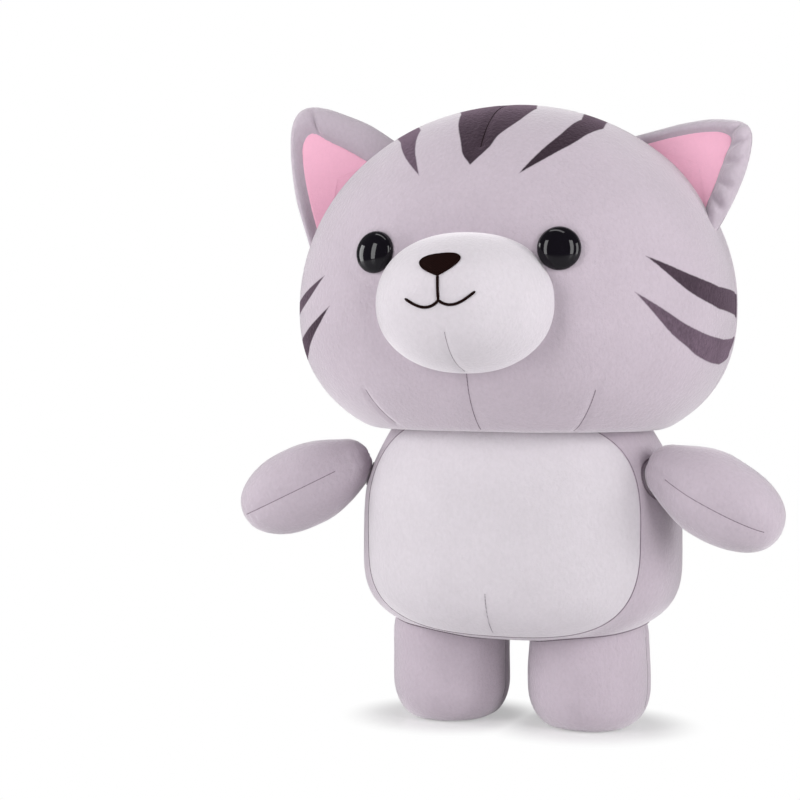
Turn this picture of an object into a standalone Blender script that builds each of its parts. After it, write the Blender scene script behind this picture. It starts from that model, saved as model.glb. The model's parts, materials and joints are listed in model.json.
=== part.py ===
"""Plush cat, standing, built as it is sewn: fabric panels over stuffing, with a turning head,
lifting arms, swinging legs, folding ears and a wagging tail.

The cat faces -Y, its own left is +X, and its soles stand on Z = 0. Sizes are in metres.
"""

import math

import bmesh
import bpy
from mathutils import Matrix, Vector
from mathutils.bvhtree import BVHTree

MM = 0.001

# Fabric and fits
SKIN = 2.0 * MM                    # thickness of the plush fabric
GAP = 0.3 * MM                     # clearance between pieces that touch
SEAM_GAP = 0.5 * MM                # width of the line between two panels sewn edge to edge
EAR_ROOT_GAP = 1.4 * MM            # room for the ear to fold along its root

# Body: a rounded barrel, widest low down, cut flat at the neck
BODY_BOTTOM = 55.0 * MM            # lowest point above the floor
BODY_DROP = 57.0 * MM              # from the widest level down to the lowest point
BODY_RISE = 110.0 * MM             # from the widest level up to where the barrel would close
NECK_RISE = 77.0 * MM              # from the widest level up to the neck
BODY_HALF_WIDTH = 105.0 * MM
BODY_FRONT = 74.0 * MM             # from the body's axis to the belly
BODY_BACK = 72.0 * MM              # from the body's axis to the back
BODY_Y = 2.0 * MM                  # the body's axis, behind the neck's turning axis
BODY_SIDE_POWER = 3.0              # roundness of the barrel's side; 2 is an ellipse
BODY_PLAN_POWER = 2.4              # roundness of the barrel seen from above

# White panel on the belly, as seen from the front
BELLY_UP = 14.0 * MM               # its widest level above the body's widest level
BELLY_HALF_WIDTH = 93.0 * MM
BELLY_RISE = 78.0 * MM             # the neck cuts its top off
BELLY_DROP = 66.0 * MM
BELLY_POWER = 3.0

# Head: a wide ball, flatter below, cut flat at the neck
HEAD_HALF_WIDTH = 141.0 * MM
HEAD_RISE = 128.0 * MM             # from the head's widest level up to its top
HEAD_DROP = 97.0 * MM              # from the widest level down to where it would close
HEAD_OVER_NECK = 82.0 * MM         # from the neck up to the widest level
HEAD_FRONT = 108.0 * MM
HEAD_BACK = 100.0 * MM
HEAD_SEAM_BACK = 18.0 * MM         # seam round the head, behind its middle
HEAD_TOP_POWER = 2.0
HEAD_BASE_POWER = 2.5
HEAD_DEPTH_POWER = 2.5

# Muzzle: a dome set into a hole in the face
MUZZLE_DOWN = 1.0 * MM             # its middle, below the head's widest level
MUZZLE_HALF_WIDTH = 56.0 * MM
MUZZLE_HALF_HEIGHT = 42.5 * MM
MUZZLE_PROUD = 40.0 * MM           # in front of the face
MUZZLE_ALLOWANCE = 16.0 * MM       # its seam allowance, turned in behind the face's front
MUZZLE_POWER = 2.2

# Embroidered nose and mouth
NOSE_UP = 21.0 * MM                # the nose's middle, above the muzzle's middle
NOSE_HALF_WIDTH = 15.0 * MM        # before the taper takes its lower part in
NOSE_HALF_HEIGHT = 6.8 * MM
NOSE_POWER = 2.6                   # roundness of its outline; 2 is an ellipse
NOSE_TAPER = 0.42                  # how much narrower it is at its tip
NOSE_THICK = 1.6 * MM
MOUTH_UP = 0.3 * MM                # where the mouth's two arcs meet, against the muzzle's middle
MOUTH_HALF_WIDTH = 21.5 * MM
MOUTH_SAG = 3.8 * MM               # how far each arc hangs
MOUTH_SKEW = 0.8                   # below 1 each arc hangs lowest nearer the middle
MOUTH_CORNER_UP = 3.0 * MM         # the corners, above where the arcs meet
MOUTH_THREAD = 2.2 * MM            # width of the satin-stitched line
STITCH_TURN = 5.0                  # degrees that nose and mouth are stitched out of level, up on the left
STITCH_CLEAR = 0.6 * MM            # between the lines of the nose and mouth

# Safety eyes
EYE_SPACING = 115.5 * MM
EYE_UP = 30.0 * MM                 # above the head's widest level
EYE_DIAMETER = 26.0 * MM
EYE_DOME = 7.0 * MM
EYE_RIM = 1.2 * MM                 # height of the straight rim under the dome
SHANK_DIAMETER = 6.0 * MM
SHANK_LENGTH = 13.0 * MM
WASHER_DIAMETER = 20.0 * MM
WASHER_THICK = 2.0 * MM

# Ears, cupped forwards and rooted beside the seam round the head; the left one droops outwards
EAR_LOW_ANGLE = {"left": 21.5, "right": 9.5}           # ends of the root, in degrees round the head
EAR_HIGH_ANGLE = {"left": 59.0, "right": 54.0}         # from its side
EAR_HEIGHT = {"left": 54.0 * MM, "right": 71.5 * MM}   # tip above the straight line between the root's ends
EAR_LEAN = {"left": -11.0 * MM, "right": 29.0 * MM}    # tip towards the top of the head
EAR_ROOT_AHEAD = 1.5 * MM          # upper end of the root, in front of the seam round the head
EAR_CUP = 23.0 * MM                # lower end of the root, in front of its upper end
EAR_TIP_FORWARD = 9.0 * MM         # tip in front of the middle of the root
EAR_TIP_ROUND = {"left": 0.30, "right": 0.50}          # roundness of the tip; 0 is a sharp corner
EAR_BULGE = 0.85                   # below 1 the free edge bulges between the root and the tip
EAR_MIDDLE = 0.42                  # where the ear is thickest, as a share of its height
EAR_MID_HALF = 6.0 * MM            # half thickness in the middle
EAR_EDGE_HALF = 2.2 * MM           # half thickness at the edge
EAR_SWELL_POWER = 0.7              # below 1 the ear stays thick nearly to its edge
LINING_SHARE = 0.72                # the lining's free edge against the ear's, from its middle
LINING_ROOT_SHARE = 0.93           # the same at the middle of the root
LINING_THICK = 1.4 * MM

# Arms
ARM_UP = 54.0 * MM                 # shoulder above the body's widest level
ARM_FORWARD = 28.0 * MM            # shoulder in front of the body's axis
ARM_ROOT_RADIUS = 18.2 * MM
ARM_ROOT_PROUD = 8.5 * MM          # centre of the round root, outside the body
ARM_RADIUS = 27.5 * MM
ARM_SWELL_AT = 30.0 * MM           # thickest place, from the shoulder
ARM_LENGTH = 76.5 * MM             # shoulder to tip
ARM_DROOP = 26.0                   # degrees below level
ARM_SWING_FORWARD = 11.0           # degrees in front of straight out
ARM_END_POWER = 2.3                # roundness of the hand; 2 is an ellipse
ARM_SEAM_ROLL = -3.0               # degrees that the front seam sits below the middle
ARM_ROOT_OPEN = 8.0 * MM           # radius of the opening where stuffing goes in

# Legs
LEG_SPACING = 94.0 * MM            # between the legs' axes
LEG_Y = 7.0 * MM
LEG_ROOT_RADIUS = 39.0 * MM
LEG_ROOT_RUN = 9.0 * MM            # how far below the hip the leg keeps its round root
LEG_RADIUS = 40.5 * MM
SOLE_RADIUS = 28.0 * MM
FOOT_CORNER = 22.0 * MM            # height of the rounding above the sole
SOLE_PROUD = 0.6 * MM              # the sole stands this far below the leg's lower edge
LEG_ROOT_OPEN = 14.0 * MM

# Tail
TAIL_DOWN = 16.0 * MM              # root below the body's widest level
TAIL_ROOT_RADIUS = 13.0 * MM
TAIL_ROOT_PROUD = 8.0 * MM
TAIL_RADIUS = 14.5 * MM
TAIL_SWELL_AT = 40.0 * MM
TAIL_LENGTH = 92.0 * MM
TAIL_PITCH = 12.0                  # degrees above level at the root
TAIL_BEND = 55.0                   # further degrees of upward curl at the tip
TAIL_END_POWER = 2.2
TAIL_ROOT_OPEN = 6.0 * MM

# Facets
HEAD_SEGMENTS = 32
HEAD_RINGS = 6
BODY_SEGMENTS = 28
BODY_RINGS = 8
BELLY_SEGMENTS = 40
MUZZLE_SEGMENTS = 24
NOSE_SEGMENTS = 20
THREAD_SIDES = 6
LIMB_SEGMENTS = 14
EYE_SEGMENTS = 18
SOCKET_SEGMENTS = 20
SOCKET_RINGS = 10
FAR = 500.0 * MM                   # reach of the cutting blocks

# Levels that follow from the sizes above
BODY_WIDEST = BODY_BOTTOM + BODY_DROP
NECK_LEVEL = BODY_WIDEST + NECK_RISE
HEAD_LEVEL = NECK_LEVEL + HEAD_OVER_NECK
MUZZLE_LEVEL = HEAD_LEVEL - MUZZLE_DOWN
SIDES = (("left", 1.0), ("right", -1.0))

for item in list(bpy.data.objects):
    bpy.data.objects.remove(item)


# Materials

def material(name, colour, roughness):
    """A plain Principled material."""
    made = bpy.data.materials.new(name)
    made.use_nodes = True
    shader = made.node_tree.nodes["Principled BSDF"]
    shader.inputs["Base Color"].default_value = (*colour, 1.0)
    shader.inputs["Roughness"].default_value = roughness
    shader.inputs["Metallic"].default_value = 0.0
    return made


GREY = material("grey_plush", (0.55, 0.48, 0.54), 0.95)
WHITE = material("white_plush", (0.74, 0.70, 0.74), 0.95)
PINK = material("pink_plush", (0.78, 0.37, 0.50), 0.90)
BLACK = material("black_plastic", (0.004, 0.003, 0.005), 0.08)
THREAD = material("brown_thread", (0.010, 0.004, 0.004), 0.60)
FILL = material("white_stuffing", (0.85, 0.85, 0.83), 1.0)
WASHER = material("clear_nylon", (0.80, 0.80, 0.78), 0.35)


# Building tools

SURFACES = {}
AT = {}


def signed_power(value, power):
    """A power that keeps the sign, for superellipse outlines."""
    return math.copysign(abs(value) ** power, value)


def join_rings(bm, low, high):
    """Faces between two rings; a ring of one point gives a fan."""
    count = max(len(low), len(high))
    for k in range(count):
        n = (k + 1) % count
        if len(low) == 1:
            bm.faces.new((low[0], high[k], high[n]))
        elif len(high) == 1:
            bm.faces.new((low[k], low[n], high[0]))
        else:
            bm.faces.new((low[k], low[n], high[n], high[k]))


def loft(name, rings, finish=None, cyclic=False):
    """A closed body through rings of points. A ring of one point is a pole, and any other end is capped.
    With cyclic set, the last ring joins the first, as on a tube with a wall."""
    bm = bmesh.new()
    loops = [[bm.verts.new(point) for point in ring] for ring in rings]
    for low, high in zip(loops, loops[1:]):
        join_rings(bm, low, high)
    if cyclic:
        join_rings(bm, loops[-1], loops[0])
    else:
        for end in (loops[0], loops[-1]):
            if len(end) > 1:
                bm.faces.new(end)
    bmesh.ops.recalc_face_normals(bm, faces=bm.faces)
    SURFACES[name] = BVHTree.FromBMesh(bm)
    mesh = bpy.data.meshes.new(name)
    bm.to_mesh(mesh)
    bm.free()
    body = bpy.data.objects.new(name, mesh)
    bpy.context.scene.collection.objects.link(body)
    if finish is None:
        body.hide_render = True
        body.display_type = "WIRE"
    else:
        mesh.materials.append(finish)
        mesh.shade_smooth()
    return body


def block(name, low, high, place=None):
    """A cutting block between two corners."""
    place = place or Matrix.Identity(4)
    rings = []
    for z in (low[2], high[2]):
        corners = ((low[0], low[1]), (high[0], low[1]), (high[0], high[1]), (low[0], high[1]))
        rings.append([place @ Vector((x, y, z)) for x, y in corners])
    return loft(name, rings)


def ball(name, centre, radius):
    """A cutting ball whose flat faces stay outside the true ball."""
    clear = radius / math.cos(math.pi / SOCKET_SEGMENTS) / math.cos(math.pi / SOCKET_RINGS / 2)
    rings = [[centre + Vector((0, 0, -clear))]]
    for k in range(1, SOCKET_RINGS):
        tilt = math.pi * k / SOCKET_RINGS
        rings.append(circle(clear * math.sin(tilt), -clear * math.cos(tilt), centre, SOCKET_SEGMENTS))
    rings.append([centre + Vector((0, 0, clear))])
    return loft(name, rings)


def circle(radius, height, centre=Vector(), count=LIMB_SEGMENTS):
    """A level circle of points."""
    turns = [2 * math.pi * k / count for k in range(count)]
    return [centre + Vector((radius * math.cos(a), radius * math.sin(a), height)) for a in turns]


def cut(target, cutter, operation="DIFFERENCE"):
    """Takes the cutter from the target, or keeps what they share."""
    step = target.modifiers.new(cutter.name, "BOOLEAN")
    step.solver = "EXACT"
    step.operation = operation
    step.object = cutter


def frame_on(point, forward, up=Vector((0, 0, 1))):
    """A placement whose own Z runs along forward and whose own Y is as near up as can be."""
    z = forward.normalized()
    x = up.cross(z).normalized()
    y = z.cross(x)
    turn = Matrix((x, y, z)).transposed()
    return Matrix.Translation(point) @ turn.to_4x4()


def pivot(name, place, parent):
    """An empty on a joint's axis, to which the pieces that move with it are parented."""
    empty = bpy.data.objects.new(name, None)
    bpy.context.scene.collection.objects.link(empty)
    empty.parent = parent
    empty.location = place - (AT[parent.name] if parent else Vector())
    AT[name] = place
    return empty


def carry(holder, *pieces):
    """Parents pieces to a holder and leaves them where they are."""
    for piece in pieces:
        piece.parent = holder
        piece.location = -AT[holder.name]


# Forms of the body and head

def body_ring(tilt, inset):
    """One level ring of the body; tilt is -90 degrees at its lowest point and 0 at its widest level."""
    height = (BODY_RISE if tilt > 0 else BODY_DROP) - inset
    z = BODY_WIDEST + signed_power(math.sin(tilt), 2 / BODY_SIDE_POWER) * height
    share = max(math.cos(tilt), 0.0) ** (2 / BODY_SIDE_POWER)
    points = []
    for k in range(BODY_SEGMENTS):
        turn = 2 * math.pi * k / BODY_SEGMENTS
        depth = BODY_BACK if math.sin(turn) > 0 else BODY_FRONT
        x = signed_power(math.cos(turn), 2 / BODY_PLAN_POWER) * (BODY_HALF_WIDTH - inset) * share
        y = signed_power(math.sin(turn), 2 / BODY_PLAN_POWER) * (depth - inset) * share
        points.append(Vector((x, BODY_Y + y, z)))
    return points


def body_rings(inset):
    """Rings of the body from its lowest point to the flat of the neck."""
    lowest = Vector((0, BODY_Y, BODY_BOTTOM + inset))
    start = -math.pi / 2
    end = math.asin((NECK_RISE / (BODY_RISE - inset)) ** (BODY_SIDE_POWER / 2))
    tilts = [start + (end - start) * k / BODY_RINGS for k in range(1, BODY_RINGS + 1)]
    return [[lowest]] + [body_ring(tilt, inset) for tilt in tilts]


def body_reach(z, depth):
    """Distance from the body's axis to its surface at a level, for the given half width or depth."""
    height = BODY_RISE if z > BODY_WIDEST else BODY_DROP
    level = abs(z - BODY_WIDEST) / height
    return depth * (1 - level ** BODY_SIDE_POWER) ** (1 / BODY_SIDE_POWER)


def body_underside(x, y):
    """Height of the body's underside below a point."""
    depth = BODY_BACK if y > BODY_Y else BODY_FRONT
    across = (abs(x) / BODY_HALF_WIDTH) ** BODY_PLAN_POWER
    along = (abs(y - BODY_Y) / depth) ** BODY_PLAN_POWER
    share = (across + along) ** (1 / BODY_PLAN_POWER)
    return BODY_WIDEST - BODY_DROP * (1 - share ** BODY_SIDE_POWER) ** (1 / BODY_SIDE_POWER)


def head_outline(turn, inset):
    """A point of the head's outline as seen from the front, turn measured from the cat's left."""
    power = HEAD_TOP_POWER if math.sin(turn) > 0 else HEAD_BASE_POWER
    height = HEAD_RISE if math.sin(turn) > 0 else HEAD_DROP
    x = signed_power(math.cos(turn), 2 / power) * (HEAD_HALF_WIDTH - inset)
    z = signed_power(math.sin(turn), 2 / power) * (height - inset)
    return x, z


def head_ring(tilt, inset):
    """One upright ring of the head; tilt is 0 at the middle of the face and 180 degrees at the back."""
    share = math.sin(tilt) ** (2 / HEAD_DEPTH_POWER)
    depth = (HEAD_FRONT if math.cos(tilt) > 0 else HEAD_BACK) - inset
    y = -signed_power(math.cos(tilt), 2 / HEAD_DEPTH_POWER) * depth
    points = []
    for k in range(HEAD_SEGMENTS):
        x, z = head_outline(2 * math.pi * k / HEAD_SEGMENTS, inset)
        points.append(Vector((x * share, y, HEAD_LEVEL + z * share)))
    return points


def head_rings(start, end, inset):
    """Rings of the head between two tilts; a tilt of 0 or 180 degrees is a pole."""
    rings = []
    for k in range(HEAD_RINGS + 1):
        tilt = start + (end - start) * k / HEAD_RINGS
        if tilt <= 0.0:
            rings.append([Vector((0, -(HEAD_FRONT - inset), HEAD_LEVEL))])
        elif tilt >= math.pi:
            rings.append([Vector((0, HEAD_BACK - inset, HEAD_LEVEL))])
        else:
            rings.append(head_ring(tilt, inset))
    return rings


def head_normal(point):
    """Outward direction of the face at a point on it."""
    power = HEAD_DEPTH_POWER
    x = point.x / HEAD_HALF_WIDTH
    z = (point.z - HEAD_LEVEL) / HEAD_RISE
    share = math.hypot(x, z) ** (power - 2)
    y = -(abs(point.y) / HEAD_FRONT) ** (power - 1)
    return Vector((share * x / HEAD_HALF_WIDTH, y / HEAD_FRONT, share * z / HEAD_RISE)).normalized()


def superellipse(half_width, rise, drop, power, count, centre_z):
    """An upright outline of (x, z) pairs."""
    pairs = []
    for k in range(count):
        turn = 2 * math.pi * k / count
        height = rise if math.sin(turn) > 0 else drop
        x = signed_power(math.cos(turn), 2 / power) * half_width
        pairs.append((x, centre_z + signed_power(math.sin(turn), 2 / power) * height))
    return pairs


def front_of(name, x, z):
    """The point of a surface seen from straight in front at x, z."""
    hit = SURFACES[name].ray_cast(Vector((x, -FAR, z)), Vector((0, 1, 0)))
    return hit[0]


# Limbs: a round root on a joint, a swelling and a rounded end, turned about a straight or curved spine

def limb_profile(root_radius, root_open, root_run, radius, swell_at, end):
    """(along, radius) pairs from the open root to the start of the limb's end, then the end's own pairs."""
    first = math.asin(root_open / root_radius)
    last = math.pi / 2 + math.asin(root_run / root_radius)
    steps = 3
    pairs = []
    for k in range(steps + 1):
        tilt = first + (last - first) * k / steps
        pairs.append((-root_radius * math.cos(tilt), root_radius * math.sin(tilt)))
    start_along, start_radius = pairs[-1]
    flank = 3
    for k in range(1, flank + 1):
        ease = (1 - math.cos(math.pi * k / flank)) / 2
        along = start_along + (swell_at - start_along) * k / flank
        pairs.append((along, start_radius + (radius - start_radius) * ease))
    return pairs + end


def round_end(radius, swell_at, length, power):
    """Pairs of a closed rounded end, whose last is a pole."""
    steps = 4
    pairs = []
    for k in range(1, steps + 1):
        tilt = math.pi / 2 * k / steps
        along = swell_at + (length - swell_at) * math.sin(tilt) ** (2 / power)
        pairs.append((along, radius * max(math.cos(tilt), 0.0) ** (2 / power)))
    pairs[-1] = (length, 0.0)
    return pairs


def foot_end(radius, length):
    """Pairs of a foot's rounding, down to the edge of the sole."""
    steps = 4
    inner = SOLE_RADIUS + SEAM_GAP
    pairs = []
    for k in range(1, steps + 1):
        tilt = math.pi / 2 * k / steps
        along = length - FOOT_CORNER + FOOT_CORNER * math.sin(tilt)
        pairs.append((along, inner + (radius - inner) * math.cos(tilt)))
    return pairs


def inset_profile(pairs, inset):
    """The same profile, moved in square to itself; its last pair, at the far end, moves along the limb."""
    moved = []
    for k, (along, radius) in enumerate(pairs[:-1]):
        before = pairs[max(k - 1, 0)]
        after = pairs[k + 1]
        run = after[0] - before[0]
        rise = after[1] - before[1]
        size = math.hypot(run, rise)
        moved.append((along + inset * rise / size, radius - inset * run / size))
    end, radius = pairs[-1]
    return moved + [(end - inset, radius)]


def straight_spine(place):
    """Placement of a ring along a straight limb."""
    return lambda along: place @ Matrix.Translation((0, 0, along))


def curled_spine(place, bend, length):
    """Placement of a ring along a limb that curls towards its own Y."""
    radius = length / bend

    def at(along):
        if along <= 0:
            return place @ Matrix.Translation((0, 0, along))
        turn = along / radius
        shift = Vector((0, radius * (1 - math.cos(turn)), radius * math.sin(turn)))
        return place @ Matrix.Translation(shift) @ Matrix.Rotation(-turn, 4, "X")

    return at


def limb_rings(pairs, spine):
    """Rings of points from a profile and a spine."""
    rings = []
    for along, radius in pairs:
        ring = [Vector()] if radius == 0.0 else circle(radius, 0.0)
        rings.append([spine(along) @ point for point in ring])
    return rings


def limb_cover(name, pairs, spine, finish):
    """The fabric of a limb: a bag open at its root, or a tube where its far end is open too."""
    outside = limb_rings(pairs, spine)
    inside = limb_rings(inset_profile(pairs, SKIN), spine)
    is_tube = pairs[-1][1] > 0.0
    if is_tube:
        return loft(name, outside + inside[::-1], finish, cyclic=True)
    return loft(name, outside[::-1] + inside, finish, cyclic=False)


# Body

def make_body(sockets):
    """The belly panel, the two back panels and the stuffing, with a socket for each limb."""
    outside = body_rings(0.0)
    inside = body_rings(SKIN)
    outlines = []
    for grow in (-SEAM_GAP / 2, SEAM_GAP / 2):
        outline = superellipse(BELLY_HALF_WIDTH + grow, BELLY_RISE + grow, BELLY_DROP + grow,
                               BELLY_POWER, BELLY_SEGMENTS, BODY_WIDEST + BELLY_UP)
        outlines.append([[Vector((x, y, z)) for x, z in outline] for y in (-FAR, BODY_Y)])
    belly_inside = loft("belly_outline", outlines[0])
    belly_outside = loft("belly_hole", outlines[1])

    belly = loft("belly_panel", outside + inside[::-1], WHITE)
    cut(belly, belly_inside, "INTERSECT")
    panels = [belly]
    for side, sign in SIDES:
        panel = loft(f"back_panel_{side}", outside + inside[::-1], GREY)
        near = sign * SEAM_GAP / 2
        low = (min(near, sign * FAR), -FAR, -FAR)
        high = (max(near, sign * FAR), FAR, FAR)
        cut(panel, block(f"back_half_{side}", low, high), "INTERSECT")
        cut(panel, belly_outside)
        panels.append(panel)
    fill = loft("body_stuffing", body_rings(SKIN + GAP), FILL)
    for piece in panels + [fill]:
        for socket in sockets:
            cut(piece, socket)
    return panels + [fill]


# Head

def head_halves(inset):
    """Rings of the face and of the back of the head, each from its pole to the seam round the head."""
    seam = math.pi - math.acos((HEAD_SEAM_BACK / HEAD_BACK) ** (HEAD_DEPTH_POWER / 2))
    half_gap = SEAM_GAP / 2 / HEAD_BACK
    return head_rings(0.0, seam - half_gap, inset), head_rings(math.pi, seam + half_gap, inset)


def make_head_covers():
    """The face and the back of the head, which meet at the seam round the head."""
    covers = []
    names = ("face_panel", "head_back_panel")
    for name, outside, inside in zip(names, head_halves(0.0), head_halves(SKIN)):
        covers.append(loft(name, outside + inside[::-1], GREY))
    return covers


def make_head_stuffing():
    """The filling of the head."""
    front, back = head_halves(SKIN + GAP)
    return loft("head_stuffing", front + back[::-1], FILL)


def muzzle_rings(root_y, reach, inset, grow=0.0):
    """Rings of the muzzle's dome from its tip back to its root."""
    outline = superellipse(MUZZLE_HALF_WIDTH - inset + grow, MUZZLE_HALF_HEIGHT - inset + grow,
                           MUZZLE_HALF_HEIGHT - inset + grow, MUZZLE_POWER, MUZZLE_SEGMENTS, 0.0)
    steps = 5
    rings = [[Vector((0, root_y - reach + inset - grow, MUZZLE_LEVEL))]]
    for k in range(1, steps + 1):
        tilt = math.pi / 2 * k / steps
        share = math.sin(tilt) ** (2 / MUZZLE_POWER)
        y = root_y - (reach - inset + grow) * max(math.cos(tilt), 0.0) ** (2 / MUZZLE_POWER)
        rings.append([Vector((x * share, y, MUZZLE_LEVEL + z * share)) for x, z in outline])
    return rings


def make_muzzle(covers, fill):
    """The white dome and its filling, set into the face and the head's stuffing, with its embroidery."""
    face_y = front_of("face_panel", 0.0, MUZZLE_LEVEL).y
    root_y = face_y + MUZZLE_ALLOWANCE
    reach = MUZZLE_PROUD + MUZZLE_ALLOWANCE
    outside = muzzle_rings(root_y, reach, 0.0)
    inside = muzzle_rings(root_y, reach, SKIN)
    panel = loft("muzzle_panel", outside + inside[::-1], WHITE)
    stuffing = loft("muzzle_stuffing", muzzle_rings(root_y, reach, SKIN + GAP), FILL)
    hollow = muzzle_rings(root_y, reach, 0.0, SEAM_GAP)
    last = [point + Vector((0, GAP, 0)) for point in hollow[-1]]
    hole = loft("muzzle_hole", hollow + [last])
    cut(covers[0], hole)
    cut(fill, hole)
    seat = loft("muzzle_seat", muzzle_rings(root_y, reach, 0.0, GAP))
    return panel, stuffing, make_nose(seat), *make_mouth(seat)


def turned(name, pairs, place, finish=None):
    """A turned body from (radius, height) pairs; a radius of 0 is a pole."""
    rings = []
    for radius, height in pairs:
        ring = [Vector((0, 0, height))] if radius == 0.0 else circle(radius, height, count=EYE_SEGMENTS)
        rings.append([place @ point for point in ring])
    return loft(name, rings, finish)


def height_over(surface, place, radius, start, heading):
    """Heights at which rays in a disc meet a surface, measured along a placement's own Z."""
    heights = []
    axis = place.to_3x3() @ Vector((0, 0, 1))
    back = place.inverted()
    for share in (0.0, 0.35, 0.7, 1.0):
        for point in circle(radius * share, start, count=EYE_SEGMENTS):
            hit = SURFACES[surface].ray_cast(place @ point, axis * heading)
            heights.append((back @ hit[0]).z)
    return heights


def make_eye(side, sign, covers, fill):
    """A domed safety eye on the face, its shank through the fabric and the washer that locks it inside."""
    shank = SHANK_DIAMETER / 2
    reach = EYE_DIAMETER / 2
    spot = front_of("face_panel", sign * EYE_SPACING / 2, HEAD_LEVEL + EYE_UP)
    place = frame_on(spot, head_normal(spot))
    seat = max(height_over("face_panel", place, reach, FAR, -1.0)) + GAP
    inner = min(height_over("face_panel", place, WASHER_DIAMETER / 2, -SHANK_LENGTH, 1.0)) - GAP

    dome = [(0.0, seat + EYE_RIM + EYE_DOME)]
    steps = 4
    for k in range(1, steps + 1):
        tilt = math.pi / 2 * k / steps
        dome.append((reach * math.sin(tilt), seat + EYE_RIM + EYE_DOME * math.cos(tilt)))
    tip = inner - SHANK_LENGTH + SKIN
    stem = [(reach, seat), (shank, seat), (shank, tip), (0.0, tip)]
    eye = turned(f"eye_{side}", dome + stem, place, BLACK)

    bore = shank + GAP
    outer = WASHER_DIAMETER / 2
    low = inner - WASHER_THICK
    rings = []
    for radius, height in ((bore, inner), (outer, inner), (outer, low), (bore, low)):
        rings.append([place @ point for point in circle(radius, height, count=EYE_SEGMENTS)])
    washer = loft(f"eye_washer_{side}", rings, WASHER, cyclic=True)

    above = seat + EYE_RIM
    hole = [(0.0, above), (bore, above), (bore, low), (0.0, low)]
    cut(covers[0], turned(f"eye_hole_{side}", hole, place))
    wide = outer + GAP
    deep = low - GAP
    end = tip - GAP
    pocket = [(0.0, above), (wide, above), (wide, deep), (bore, deep), (bore, end), (0.0, end)]
    cut(fill, turned(f"eye_pocket_{side}", pocket, place))
    return eye, washer


def stitched(x, z):
    """A point of the embroidery, across and above the muzzle's middle, turned as it is stitched."""
    turn = math.radians(STITCH_TURN)
    across = x * math.cos(turn) - z * math.sin(turn)
    return Vector((across, MUZZLE_LEVEL + x * math.sin(turn) + z * math.cos(turn)))


def make_nose(seat):
    """The satin-stitched nose, a rounded triangle with its point down, whose back its seat shapes."""
    centre = stitched(0.0, NOSE_UP)
    outline = []
    height = NOSE_HALF_HEIGHT
    for x, z in superellipse(NOSE_HALF_WIDTH, height, height, NOSE_POWER, NOSE_SEGMENTS, 0.0):
        low = (height - z) / (2 * height)
        outline.append(stitched(x * (1 - 2 * NOSE_TAPER * low ** 2), NOSE_UP + z))
    fronts = []
    backs = []
    for share in (0.0, 0.5, 1.0):
        spots = [centre.lerp(spot, share) for spot in outline]
        spots = spots if share else spots[:1]
        points = [front_of("muzzle_panel", *spot) for spot in spots]
        fronts.append([point - Vector((0, GAP + NOSE_THICK, 0)) for point in points])
        backs.append([point + Vector((0, NOSE_THICK, 0)) for point in points])
    nose = loft("nose_patch", fronts + backs[::-1], THREAD)
    cut(nose, seat)
    return nose


def thread(name, route, seat):
    """A satin-stitched line on the muzzle, round in front and shaped by its seat behind."""
    points = [front_of("muzzle_panel", *stitched(x, z)) for x, z in route]
    rings = []
    for k, point in enumerate(points):
        tangent = points[min(k + 1, len(points) - 1)] - points[max(k - 1, 0)]
        place = frame_on(point, tangent, Vector((0, -1, 0)))
        rings.append([place @ spot for spot in circle(MOUTH_THREAD / 2 + GAP, 0.0, count=THREAD_SIDES)])
    line = loft(name, rings, THREAD)
    cut(line, seat)
    return line


def make_mouth(seat):
    """The mouth's two arcs as one line, and the line from the nose down to them."""
    steps = 8
    route = []
    for k in range(-steps, steps + 1):
        share = k / steps
        sag = MOUTH_SAG * math.sin(math.pi * abs(share) ** MOUTH_SKEW)
        route.append((MOUTH_HALF_WIDTH * share, MOUTH_UP + MOUTH_CORNER_UP * share ** 2 - sag))
    mouth = thread("mouth_stitch", route, seat)
    top = NOSE_UP - NOSE_HALF_HEIGHT - STITCH_CLEAR
    bottom = MOUTH_UP + MOUTH_THREAD / 2 + GAP + STITCH_CLEAR
    fall = 4
    line = [(0.0, top + (bottom - top) * k / fall) for k in range(fall + 1)]
    return mouth, thread("philtrum_stitch", line, seat)


# Ears

def ear_tent(side, share):
    """Height of an ear's free edge along its root, from 0 at the ends to 1 at the rounded tip."""
    rounding = EAR_TIP_ROUND[side]
    lean = math.hypot(2 * share - 1, rounding)
    top = math.hypot(1.0, rounding)
    return ((top - lean) / (top - rounding)) ** EAR_BULGE


def ear_root(side, share):
    """A point of an ear's root on the head, drawn as if on the cat's left; share is 0 at its lower end."""
    angle = EAR_LOW_ANGLE[side] + (EAR_HIGH_ANGLE[side] - EAR_LOW_ANGLE[side]) * share
    x, z = head_outline(math.radians(angle), 0.0)
    out = Vector((x, 0, z)).normalized()
    level = Vector((0, HEAD_SEAM_BACK - EAR_ROOT_AHEAD - EAR_CUP * (1 - share), HEAD_LEVEL))
    hit = SURFACES["face_panel"].ray_cast(level + out * FAR, -out)
    return hit[0] + out * EAR_ROOT_GAP


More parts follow.
